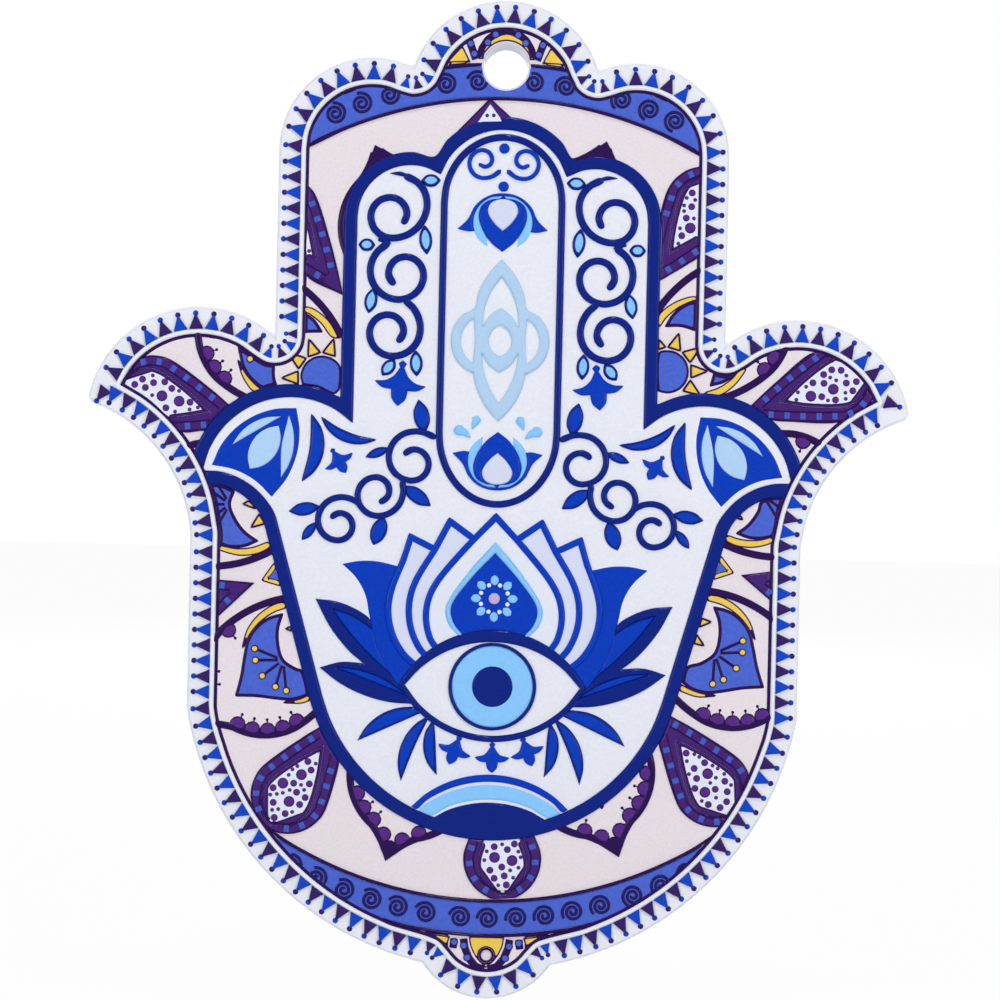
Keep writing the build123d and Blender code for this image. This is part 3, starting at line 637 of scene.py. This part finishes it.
def grow(name, mesh, kind, values, finish, nodes):
    seed = placeNew(name + "Path", mesh)
    modifier = seed.modifiers.new("ink", "NODES")
    modifier.node_group = trees[kind]
    values = {**values, "Finish": finishes[finish][0]}
    for item in trees[kind].interface.items_tree:
        if item.in_out == "INPUT" and item.name in values:
            modifier[item.identifier] = values[item.name]
    solid = bpy.data.meshes.new_from_object(seed.evaluated_get(bpy.context.evaluated_depsgraph_get()))
    bpy.data.objects.remove(seed)
    solid.name = name
    return setPiece(placeNew(name, solid), finish, *nodes)


# places are (u, v, height, turn in degrees, size)
def stamp(name, shape, places, finish, nodes=()):
    places = np.array(places, float)
    mesh = bpy.data.meshes.new(name + "Points")
    mesh.from_pydata([tuple(p) for p in places[:, :3] / 1000], [], [])
    setValues(mesh, "turn", np.radians(places[:, 3]))
    setValues(mesh, "size", places[:, 4])
    return grow(name, mesh, "stamp", {"Shape": shape}, finish, nodes)


# paths are lists of (u, v); a closed one ends where it starts
def inkLine(name, paths, height, look, finish="plum", closed=False, nodes=()):
    # the bead is squashed about the drawing's own plane, so its height is divided out first
    flat = look["rise"] / (look["width"] / 2)
    spots, sides = [], []
    for path in paths:
        start, count = len(spots), len(path)
        spots += [(u / 1000, v / 1000, height / 1000 / flat) for u, v in path]
        sides += [(start + i, start + (i + 1) % count) for i in range(count if closed else count - 1)]
    mesh = bpy.data.meshes.new(name + "Path")
    mesh.from_pydata(spots, sides, [])
    return grow(name, mesh, "line", {"Width": look["width"] / 1000, "Flatness": flat}, finish, nodes)


# A closed shape to stamp, from rings of points: the lowest first, then a flat top or a peak
def stackStamp(name, rings, depths, peak=None):
    count, last = len(rings[0]), len(rings[0]) * (len(rings) - 1)
    spots = [spot for ring in rings for spot in ring]
    rims = [depth for depth in depths for _ in range(count)]
    faces = [tuple(reversed(range(count)))]
    for low in range(0, last, count):
        for i in range(count):
            a, b = low + i, low + (i + 1) % count
            faces.append((a, b, b + count, a + count))
    if peak is None:
        faces.append(tuple(range(last, last + count)))
    else:
        faces += [(last + i, last + (i + 1) % count, last + count) for i in range(count)]
        spots.append((0, 0, peak))
        rims.append(1.0)
    made = meshPiece(name, np.array(spots, float) / 1000, faces, rims)
    made.hide_render = True
    return made


# Rings of a dome: radius and height; rings of a flat shape: shares of its round edge and of its height
domeShape = {
    "sides": 12, "top": 0.83,
    "rings": ((1.0, -0.1), (1.0, 0.0), (0.93, 0.3), (0.68, 0.62), (0.36, 0.78)),
}
flatShape = {"rings": ((0, -0.15), (0, 0.45), (0.35, 0.82), (1.0, 1.0))}


def domeStamp(name, tall):
    turns = [2 * math.pi * i / domeShape["sides"] for i in range(domeShape["sides"])]
    rings = [[(r * math.cos(turn), r * math.sin(turn), h * tall) for turn in turns]
             for r, h in domeShape["rings"]]
    return stackStamp(name, rings, [1 - r for r, _ in domeShape["rings"]], domeShape["top"] * tall)


def flatStamp(name, outline, rise, soft):
    outline = np.array(outline, float)
    inward = toLeft(np.roll(outline, -1, 0) - outline)
    before = np.roll(inward, 1, 0)
    mitre = (inward + before) / (1 + (inward * before).sum(1))[:, None]
    rings = [[(u, v, h * rise) for u, v in outline + mitre * inset * soft] for inset, h in flatShape["rings"]]
    return stackStamp(name, rings, [inset * soft for inset, _ in flatShape["rings"]])


# How far stamped ink sinks into what it lies on
seat = 0.02
dot = domeStamp("dotShape", 0.55)
lowDot = domeStamp("lowDotShape", 0.28)

# The mandala's open ground: inside the bead, outside the hand and off the hole
beadLoops = outlineOf("border_bead")[0]
beadInside = [loop[::-1] for loop in beadLoops if area(loop) < 0][0]
beadOutside = [loop for loop in beadLoops if area(loop) > 0][0]
handLoops = [loop for node in ("hand_band", "hand_ground") for loop in outlineOf(node)[0] if area(loop) > 0]
hole = {"radius": 3.4, "margin": 0.15, "sides": 48}
holeTurn = np.linspace(0, 2 * math.pi, hole["sides"], endpoint=False)
holeLoop = np.column_stack([np.cos(holeTurn), np.sin(holeTurn)]) * (hole["radius"] + hole["margin"])
holeLoop[:, 1] += sheet["drop"]
fences = {"bead": Fence([beadInside]), "hand": Fence(handLoops), "hole": Fence([holeLoop])}


def onGround(points, margin=0.0):
    points = np.asarray(points, float).reshape(-1, 2)
    free = within(points, [beadInside])
    for covered in handLoops + [holeLoop]:
        free &= ~within(points, [covered])
    for fence in fences.values() if margin > 0 else ():
        free &= fence.distance(points) > margin
    return free


# The parts of a path on open ground, each run on a little way under the hand's rim and the bead
def runsOnGround(path, margin=0.0, under=0.0):
    free = onGround(path, margin)
    close = (fences["hand"].distance(path) < under) | (fences["bead"].distance(path) < under / 2)
    for _ in range(len(path) if under else 0):
        free |= close & (np.append(free[1:], False) | np.append(False, free[:-1]))
    runs, run = [], []
    for point, kept in zip(path, free):
        if kept:
            run.append(tuple(point))
        elif run:
            runs.append(run)
            run = []
    runs.append(run)
    return [run for run in runs if len(run) > 2]


film = {"rise": 0.03, "soft": 0.12}
filmForm = pillowMesh([beadInside, holeLoop[::-1]], 0, film["rise"], film["soft"])
layPiece("blushGround", filmForm, "blush")
borderLine = {"width": 0.6, "inset": 0.2, "rise": 0.17}
borderPath = beadInside + leftNormals(beadInside) * borderLine["inset"]
inkLine("borderLine", [borderPath], 0.0, borderLine, closed=True)
print("ground and border line done")

# Fringe: spires on the bead's outer side, each with a dot of the other colour on its tip
spire = {
    "foot": 1.06, "from": 0.02, "length": 2.4, "rise": 0.4, "soft": 0.24, "dotAt": 2.38, "dot": 0.42,
    "crowded": 1.3, "small": 0.7, "thumbs": (((-58.9, 15.4), -126.7),),
}
spireCorners = [(-spire["foot"], spire["from"]), (spire["foot"], spire["from"]), (0, spire["length"])]
spireShape = flatStamp("spireShape", spireCorners, spire["rise"], spire["soft"])
outerFence = Fence([beadOutside])
outward = -leftNormals(beadOutside)
spires = {"fringe_blue": [], "fringe_purple": []}
for node, kept in spires.items():
    for loop in frontLoops(node)[0]:
        middle = loop.mean(0)
        nearest = outerFence.tree.find((*middle, 0))[1]
        away = outward[nearest]
        aside = np.array([-away[1], away[0]])
        kept.append((beadOutside[nearest] + aside * ((middle - beadOutside[nearest]) @ aside), away))
for foot, angle in spire["thumbs"]:
    away = np.array([math.cos(math.radians(angle)), math.sin(math.radians(angle))])
    spires["fringe_purple"].append((np.array(foot), away))
spireTips = [foot + away * spire["length"] for kept in spires.values() for foot, away in kept]
for node, name, tipFinish in (
    ("fringe_blue", "fringeBlue", "fringePurple"), ("fringe_purple", "fringePurple", "fringeBlue"),
):
    bodies, tips = [], []
    for foot, away in spires[node]:
        tip = foot + away * spire["length"]
        clear = sorted(math.dist(tip, other) for other in spireTips)[1]
        size = 1.0 if clear > spire["crowded"] else spire["small"]
        bodies.append((*foot, 0.0, math.degrees(math.atan2(away[1], away[0])) - 90, size))
        tips.append((*(foot + away * spire["dotAt"] * size), 0.0, 0.0, spire["dot"] * (1 + size) / 2))
    stamp(name, spireShape, bodies, name, [node])
    stamp(name + "Dots", dot, tips, tipFinish)
print("fringe done:", len(spireTips), "spires")

# Mandala: ten petals and ten flowers, drawn along their own axes
mandala = {"count": 10, "petal": -87.8, "flower": -105.8}


def axisPoints(points, angle):
    points = np.asarray(points, float).reshape(-1, 2)
    c, s = math.cos(math.radians(angle)), math.sin(math.radians(angle))
    return points @ np.array([[c, s], [-s, c]])


def axes(kind):
    return [mandala[kind] + 360 / mandala["count"] * k for k in range(mandala["count"])]


# Arcs through three points each, at an even step
def arcPath(*arcs, step=0.25):
    points = []
    for (ax, ay), (bx, by), (cx, cy) in arcs:
        d = 2 * (ax * (by - cy) + bx * (cy - ay) + cx * (ay - by))
        a2, b2, c2 = ax**2 + ay**2, bx**2 + by**2, cx**2 + cy**2
        mid = np.array([(a2 * (by - cy) + b2 * (cy - ay) + c2 * (ay - by)) / d,
                        (a2 * (cx - bx) + b2 * (ax - cx) + c2 * (bx - ax)) / d])
        radius = math.dist(mid, (ax, ay))
        first = math.atan2(ay - mid[1], ax - mid[0])
        sweep = (math.atan2(cy - mid[1], cx - mid[0]) - first + math.pi) % (2 * math.pi) - math.pi
        count = max(2, math.ceil(abs(sweep) * radius / step))
        turns = first + sweep * np.arange(count) / count
        points.append(mid + radius * np.column_stack([np.cos(turns), np.sin(turns)]))
    points.append(np.array([arcs[-1][2]], float))
    return np.vstack(points)


def beside(path, amount):
    return path + toLeft(np.gradient(path, axis=0)) * amount


def evenly(path, first, pitch, look=0.05):
    lengths = np.concatenate([[0], np.cumsum(np.linalg.norm(np.diff(path, axis=0), axis=1))])
    marks = np.arange(first, lengths[-1], pitch)
    places = np.column_stack([np.interp(marks, lengths, path[:, i]) for i in (0, 1)])
    ahead = np.column_stack([np.interp(marks + look, lengths, path[:, i]) for i in (0, 1)]) - places
    return places, np.degrees(np.arctan2(ahead[:, 1], ahead[:, 0]))


# Petals: a rim with a middle line and blue dashes, round a pale field with dots
petal = {
    "sides": (((38.3, 0), (46.5, 3.6), (53.0, 5.8)), ((53.0, 5.8), (57.9, 4.4), (60.2, 0))), "step": 0.1,
    "rimSoft": 0.5, "fieldSoft": 0.3, "spacing": 0.26, "inner": 0.25, "cut": 0.6, "tip": 60.0, "tipAngle": 35.0,
    "dots": ((0.85, 2), (0.55, 8), (0.32, 13)), "perArea": 45, "gap": 0.2, "tries": 900, "seed": 4,
}
rimLine = {"inset": 1.5, "width": 0.28, "rise": 0.06, "from": 0.15, "clear": 0.2, "thin": 3}
dash = {
    "size": (0.4, 0.5), "inset": 0.9, "rise": 0.08, "soft": 0.15, "first": 2.4, "pitch": 2.4,
    "from": 0.6, "to": 58.6, "clear": 0.45,
}
petalSide = arcPath(*petal["sides"], step=petal["step"])
topPetal = {
    "axis": 5, "beyond": 50, "half": 6, "rise": 0.35, "soft": 0.4,
    "body": ((60.3, 0), (54.7, 5.7), (54.3, 5.4), (55.3, 3.5), (56.2, 0), (56.3, -2.6), (57.1, -3.4)),
    "dots": ((57.6, 0.5), (57.6, -0.5)), "dot": 0.3, "dotLift": 0.05,
}
topWindow = {"corners": ((59.3, 0), (56.6, 1.9), (56.6, -1.9)), "rise": 0.06, "soft": 0.2}
topAxis = axes("petal")[topPetal["axis"]]


def offAxis(points):
    turn = np.degrees(np.arctan2(points[:, 1], points[:, 0])) - mandala["petal"]
    turn = np.radians((turn + 180 / mandala["count"]) % (360 / mandala["count"]) - 180 / mandala["count"])
    return np.column_stack([np.cos(turn), np.sin(turn)]) * np.linalg.norm(points, axis=1)[:, None]


def atTop(loop):
    middle = axisPoints(loop.mean(0), -topAxis)[0]
    return middle[0] > topPetal["beyond"] and abs(middle[1]) < topPetal["half"]


rimLoops, rimBase, rimRise = outlineOf("petal_rims")
rimLoops = [loop for loop in rimLoops if not atTop(loop)]
rimTop = rimBase + rimRise
rimSpots, rimFaces, _ = pillowMesh(rimLoops, rimBase, rimRise, petal["rimSoft"])
petalSides = [axisPoints(petalSide * (1, flip), angle) for angle in axes("petal") for flip in (1, -1)]
rimDepth = gaps(rimSpots, np.vstack(petalSides))
layPiece("petalRims", (rimSpots, rimFaces, rimDepth), "purpleEdged", "petal_rims")
fieldLoops, fieldBase, fieldRise = outlineOf("petal_fields")
fieldLoops = [loop for loop in fieldLoops if not atTop(loop)]
fieldEdge = np.vstack(fieldLoops)
for cut in ("bead", "hand"):
    fieldEdge = fieldEdge[fences[cut].distance(fieldEdge) > petal["cut"]]


# How far inside the pale part of a petal's field
def fieldDepth(points):
    points = np.asarray(points, float)[:, :2]
    local = offAxis(points)
    slant = math.radians(petal["tipAngle"])
    point = (petal["tip"] - local[:, 0]) * math.sin(slant) - np.abs(local[:, 1]) * math.cos(slant)
    return np.minimum(gaps(points, fieldEdge) - petal["inner"], point)


fieldSpots, fieldFaces, _ = pillowMesh(fieldLoops, fieldBase, fieldRise, petal["fieldSoft"], petal["spacing"])
layPiece("petalFields", (fieldSpots, fieldFaces, fieldDepth(fieldSpots)), "petalField", "petal_fields")
wide, tall = dash["size"]
dashCorners = [(-wide, -tall), (wide, -tall), (wide, tall), (-wide, tall)]
dashShape = flatStamp("dashShape", dashCorners, dash["rise"], dash["soft"])
midLine = beside(petalSide, -rimLine["inset"])
midLine = midLine[midLine[:, 1] > rimLine["from"]][:: rimLine["thin"]]
dashSpots, dashTurns = evenly(beside(petalSide, -dash["inset"]), dash["first"], dash["pitch"])
dashKept = (dashSpots[:, 0] < dash["to"]) & (dashSpots[:, 1] > dash["from"])
rimLines, dashes = [], []
for angle in axes("petal"):
    if angle == topAxis:
        continue
    for flip in (1, -1):
        rimLines += runsOnGround(axisPoints(midLine * (1, flip), angle), rimLine["clear"])
        spots = axisPoints(dashSpots * (1, flip), angle)
        free = onGround(spots, dash["clear"]) & dashKept
        for (u, v), turn in zip(spots[free], dashTurns[free]):
            dashes.append((u, v, rimTop - seat, turn * flip + angle, 1.0))
inkLine("petalRimLines", rimLines, rimTop, rimLine)
stamp("petalDashes", dashShape, dashes, "dashBlue")
chance = np.random.default_rng(petal["seed"])
dots = []
for region in regions(fieldLoops):
    kept = []
    tries = chance.uniform(region[0].min(0), region[0].max(0), (petal["tries"], 2))
    tries = tries[within(tries, region)]
    depth = np.minimum(fieldDepth(tries), Fence(region).distance(tries))
    for radius, wanted in petal["dots"]:
        wanted *= abs(area(region[0])) / petal["perArea"]
        for spot in tries[depth > radius + petal["gap"]]:
            if wanted < 1:
                break
            if all(math.dist(spot, other[:2]) > radius + other[2] + petal["gap"] for other in kept):
                kept.append((*spot, radius))
                wanted -= 1
    dots += [(u, v, fieldBase + fieldRise - seat, 0.0, radius) for u, v, radius in kept]
inkArea("topPetal", [axisPoints(topPetal["body"], topAxis)], topPetal, "purpleEdged")
inkArea("topPetalWindow", [axisPoints(topWindow["corners"], topAxis)], topWindow, "petalWhite",
        topPetal["rise"])
topDots = axisPoints(topPetal["dots"], topAxis)
dots += [(u, v, topPetal["rise"] + topPetal["dotLift"], 0.0, topPetal["dot"]) for u, v in topDots]
stamp("petalDots", lowDot, dots, "violetEdged")
print("petals done:", len(dashes), "dashes,", len(dots), "dots")

# Scallops: a broad line with half discs on its inner side, each with a small dot on a stalk beyond it
scallop = {
    "side": (((33.0, 6.6), (38.5, 8.8), (44.5, 9.2)), ((44.5, 9.2), (49.0, 7.3), (52.0, 3.6)),
             ((52.0, 3.6), (53.8, 1.6), (56.0, 0))),
    "band": {"width": 1.15, "rise": 0.33}, "under": 0.8, "bandEnd": 55.2,
    "first": 1.4, "pitch": 2.5, "last": 53.6, "disc": 1.25, "sunk": 0.69, "discFrom": 1.0, "discShown": 0.6,
    "fromGold": 1.0, "dotAt": 2.3, "dot": 0.25, "dotFrom": 0.35, "clear": 0.9,
    "stalkAt": 1.75, "stalk": {"width": 0.22, "rise": 0.1}, "stalkBase": 0.03,
    "tip": ((56.7, 0), (54.4, 1.75), (53.7, 1.1), (53.4, 0), (53.7, -1.1), (54.4, -1.75)),
    "fingerTip": ((56.3, 0), (54.0, 1.8), (52.3, 4.0), (52.0, 3.4), (53.2, 0.5), (53.3, -1.6), (53.9, -2.3)),
    "finger": (60, 120), "tipClear": 0.1, "tipLook": {"rise": 0.32, "soft": 0.3},
}
scallopSide = arcPath(*scallop["side"])
crescentFence = Fence(outlineOf("flower_crescents")[0])
bands, discs, beads, stalks, tips, fingerTips = [], [], [], [], [], []
for angle in axes("flower"):
    for flip in (1, -1):
        line = scallopSide * (1, flip)
        bands += runsOnGround(axisPoints(line[line[:, 0] < scallop["bandEnd"]], angle), 0, scallop["under"])
        for mark, turn in zip(*evenly(line, scallop["first"], scallop["pitch"])):
            turn = math.radians(turn)
            inner = flip * np.array([math.sin(turn), -math.cos(turn)])
            rows = np.array([mark + inner * scallop[away] for away in ("sunk", "stalkAt", "dotAt")])
            if mark[0] > scallop["last"] or rows[0, 1] * flip < scallop["discFrom"]:
                continue
            disc, low, high = axisPoints(rows, angle)
            if crescentFence.distance([disc, high]).min() < scallop["fromGold"]:
                continue
            shown = onGround(disc, scallop["disc"] * scallop["discShown"])[0]
            if shown:
                discs.append((*disc, 0.0, 0.0, scallop["disc"]))
            besideBead = fences["bead"].distance(high)[0] < scallop["clear"]
            offCentre = rows[2, 1] * flip > scallop["dotFrom"]
            if onGround(high, scallop["dot"])[0] and offCentre and (shown or besideBead):
                beads.append((*high, 0.0, 0.0, scallop["dot"]))
                stalks.append([low, (low + high) / 2, high])
    if scallop["finger"][0] < angle < scallop["finger"][1]:
        fingerTips.append(axisPoints(scallop["fingerTip"], angle))
    elif onGround(axisPoints(scallop["tip"], angle), scallop["tipClear"]).all():
        tips.append(axisPoints(scallop["tip"], angle))
inkLine("scallopBands", bands, 0.0, scallop["band"], nodes=["scallop_edges"])
stamp("scallopDiscs", lowDot, discs, "violetEdged")
stamp("scallopDots", dot, beads, "plum")
inkLine("scallopStalks", stalks, scallop["stalkBase"], scallop["stalk"])
inkArea("scallopTips", tips, scallop["tipLook"], "plum")
inkArea("fingerScallopTips", fingerTips, scallop["tipLook"], "purpleEdged")
print("scallops done:", len(discs), "discs")

# Flowers: a dark line round each ray, and stamens that spring from the throat
ray = {"width": 0.34, "rise": 0.27}
inkLine("rayLines", outlineOf("flower_rays")[0], 0.0, ray, closed=True)
stamen = {
    "root": (40.0, 0.0), "reach": ((0, 3.9), (37, 4.15), (-37, 4.15), (59, 4.6), (-59, 4.6)),
    "from": 0.2, "points": 14, "width": 0.42, "rise": 0.1, "clear": 0.12, "dot": 0.58, "dotClear": 0.4,
}
flowerTop = outlineOf("flower_fields")[2]
threadShares = np.linspace(stamen["from"], 1, stamen["points"])[:, None]
threads, anthers = [], []
for angle in axes("flower"):
    for turn, length in stamen["reach"]:
        thread = axisPoints(stamen["root"] + threadShares * axisPoints((length, 0), turn), angle)
        threads += runsOnGround(thread, stamen["clear"])
        if onGround(thread[-1:], stamen["dotClear"])[0]:
            anthers.append((*thread[-1], flowerTop - seat, 0.0, stamen["dot"]))
inkLine("stamenThreads", threads, flowerTop, stamen)
stamp("stamenDots", dot, anthers, "goldDot")
print("stamens done:", len(anthers))

# Spirals on the ring bands
spiral = {
    "radius": 62.8, "size": 1.62, "from": 0.12, "turns": 2.5, "points": 56, "twist": 3,
    "width": 0.48, "rise": 0.14, "clear": 0.1,
    "bottom": (-29.5, -25.7, -21.6, -17.5, -13.5, -9.3, -4.1, 0.1, 4.4, 8.6, 12.8, 17.0, 21.8, 26.0, 29.8),
    "top": (-25.5, -21.6, -17.4, -9.0, -4.2, 4.2, 9.0, 17.4, 21.6, 25.5),
}
coil = np.linspace(spiral["from"], 1, spiral["points"])
coilTurn = coil * spiral["turns"] * 2 * math.pi
coilPath = np.column_stack([np.cos(coilTurn), np.sin(coilTurn)]) * (coil * spiral["size"])[:, None]
coils = []
bandTop = outlineOf("ring_band_bottom")[2]
for side, places in ((-1, spiral["bottom"]), (1, spiral["top"])):
    for u in places:
        centre = np.array([u, side * math.sqrt(spiral["radius"] ** 2 - u**2)])
        coils += runsOnGround(axisPoints(coilPath, u * spiral["twist"]) + centre, spiral["clear"])
inkLine("ringSpirals", coils, bandTop, spiral, "spiral")
print("spirals done:", len(coils))

# Side fingers: the short stem that joins two coils of the vine
stem = {"path": ((-18.5, 38.9), (-17.7, 38.6), (-17.0, 37.8)), "width": 1.0, "rise": 0.38, "base": 0.1}
inkLine("vineStems", bothSides([stem["path"]]), stem["base"], stem, "navy")

# Lobes: gold wedges, dark bands and the beads on them
lobe = {
    "wedges": (
        ((-9.1, 65.3), (-6.65, 68.1), (-5.3, 65.5)),
        ((-11.0, -64.75), (-9.0, -65.3), (-7.4, -65.95), (-5.9, -67.0), (-5.45, -65.55)),
        ((-17.2, -63.1), (-15.0, -64.1), (-13.2, -64.6), (-13.3, -64.1)),
    ),
    "bands": (
        ((-4.05, 66.4), (-3.65, 67.7), (-2.85, 69.0), (-1.6, 69.95), (0, 70.25)),
        ((-5.7, 69.0), (-5.1, 67.4), (-4.6, 66.0)),
        ((-3.45, -65.9), (-3.25, -67.2), (-2.6, -68.8), (-1.6, -70.0), (0, -70.6)),
        ((-4.85, -65.9), (-5.0, -67.3)),
    ),
    "beads": (
        (-3.45, 67.1), (-2.85, 68.55), (-1.7, 69.75), (-5.4, 68.3), (-4.85, 66.8), (-3.4, -66.9),
        (-2.85, -68.7), (-1.85, -70.1), (-4.85, -66.4),
    ),
    "wedge": {"rise": 0.24, "soft": 0.35}, "band": {"width": 1.25, "rise": 0.2}, "bandPoints": 40,
    "bandClear": 0.3125, "bead": 0.6, "beadBase": 0.1, "beadClear": 0.45,
}
inkArea("lobeWedges", bothSides(lobe["wedges"]), lobe["wedge"], "goldEdged")
lobeBands = []
for corners in bothSides(lobe["bands"]):
    marks = np.linspace(0, len(corners) - 1, lobe["bandPoints"])
    drawn = np.column_stack([np.interp(marks, range(len(corners)), corners[:, i]) for i in (0, 1)])
    lobeBands += runsOnGround(drawn, lobe["bandClear"])
inkLine("lobeBands", lobeBands, 0.0, lobe["band"])
links = [(s * u, v, lobe["beadBase"], 0.0, lobe["bead"]) for u, v in lobe["beads"] for s in (-1, 1)]
links = [link for link in links if onGround(link[:2], lobe["beadClear"])[0]]
stamp("lobeBeads", lowDot, links, "periwinkleDot")

# Rosette: white dots between its petals, and a heart
rosette = {"v": -14.8, "reach": 2.15, "dot": 0.34, "count": 8, "heart": 0.85, "heartLift": 0.1}
roseBase = outlineOf("lotus_heart")[1] + outlineOf("lotus_heart")[2]
roseDots = []
for k in range(rosette["count"]):
    turn = math.radians(360 / rosette["count"] * (k + 0.5))
    spot = (rosette["reach"] * math.cos(turn), rosette["v"] + rosette["reach"] * math.sin(turn))
    roseDots.append((*spot, roseBase - seat, 0.0, rosette["dot"]))
stamp("rosetteDots", dot, roseDots, "bead")
roseHeart = (0, rosette["v"], roseBase + rosette["heartLift"], 0.0, rosette["heart"])
stamp("rosetteHeart", lowDot, [roseHeart], "rose")
for shape in (dot, lowDot, spireShape, dashShape):
    bpy.data.objects.remove(shape)
print("small ornament done")

# Camera: square to the face, turned by the ornament's own lean in the picture
shot = {"distance": 0.3, "across": 0.000525, "lean": 1.3, "width": 0.15, "sensor": 36, "near": 0.01}
eye = bpy.data.cameras.new("faceCamera")
eye.sensor_width = shot["sensor"]
eye.lens = shot["sensor"] * shot["distance"] / shot["width"]
eye.clip_start = shot["near"]
camera = placeNew("faceCamera", eye)
camera.matrix_world = (
    Matrix.Translation((shot["across"], -sheet["face"] / 1000 - shot["distance"], -sheet["drop"] / 1000))
    @ Matrix.Rotation(math.radians(90), 4, "X")
    @ Matrix.Rotation(math.radians(shot["lean"]), 4, "Z")
)
scene.camera = camera

# Light: an even room, soft boxes above and at both sides, and one behind for the back
lamps = {
    "topBox": {"at": (0.08, -0.55, 0.85), "size": 0.13, "power": 3.5},
    "leftBox": {"at": (-0.5, -0.45, 0.03), "size": 0.3, "power": 1.6},
    "rightBox": {"at": (0.5, -0.45, 0.03), "size": 0.3, "power": 1.6},
    "backBox": {"at": (0.0, 0.9, 0.4), "size": 0.5, "power": 5.0},
}
middle = Vector((0, 0, -sheet["drop"] / 1000))
for name, lamp in lamps.items():
    light = bpy.data.lights.new(name, "AREA")
    light.size = lamp["size"]
    light.energy = lamp["power"]
    box = placeNew(name, light)
    box.location = lamp["at"]
    box.rotation_euler = (middle - box.location).to_track_quat("-Z", "Y").to_euler()


# One for rays that look straight at the backdrop, or by way of a gloss or a clear piece
def backdropRays(tree):
    rays = tree.nodes.new("ShaderNodeLightPath").outputs
    looks = [Wire(tree, rays[kind]) for kind in ("Is Camera Ray", "Is Glossy Ray", "Is Transmission Ray")]
    return sum(looks).clamped()


room = {"strength": 0.17, "colour": (1, 1, 1, 1)}
scene.world = bpy.data.worlds.new("whiteRoom")
seen = backdropRays(freshTree(scene.world))
brightness = room["strength"] + seen * (1 - room["strength"])
sky = seen.node("ShaderNodeBackground", {"Color": room["colour"], "Strength": brightness})
seen.node("ShaderNodeOutputWorld", {"Surface": sky})

# Floor, a little below the ornament
ground = {"below": 0.012, "size": 3.0, "colour": (0.9, 0.9, 0.9, 1), "white": 0.96}
floorForm = bmesh.new()
bmesh.ops.create_grid(floorForm, x_segments=1, y_segments=1, size=ground["size"])
floorMesh = bpy.data.meshes.new("paleFloor")
floorForm.to_mesh(floorMesh)
floorForm.free()
paleFloor = placeNew("paleFloor", floorMesh)
paleFloor.location.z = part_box("plate")[0].z - ground["below"]
floorFinish = bpy.data.materials.new("paleFloor")
looked = backdropRays(freshTree(floorFinish))
matt = looked.node("ShaderNodeBsdfDiffuse", {"Color": ground["colour"]})
paper = looked.node("ShaderNodeEmission", {"Color": room["colour"], "Strength": 1.0})
white = looked.node("ShaderNodeMixShader", {0: looked * ground["white"], 1: matt, 2: paper})
looked.node("ShaderNodeOutputMaterial", {"Surface": white})
floorMesh.materials.append(floorFinish)
print("camera, light and floor done")
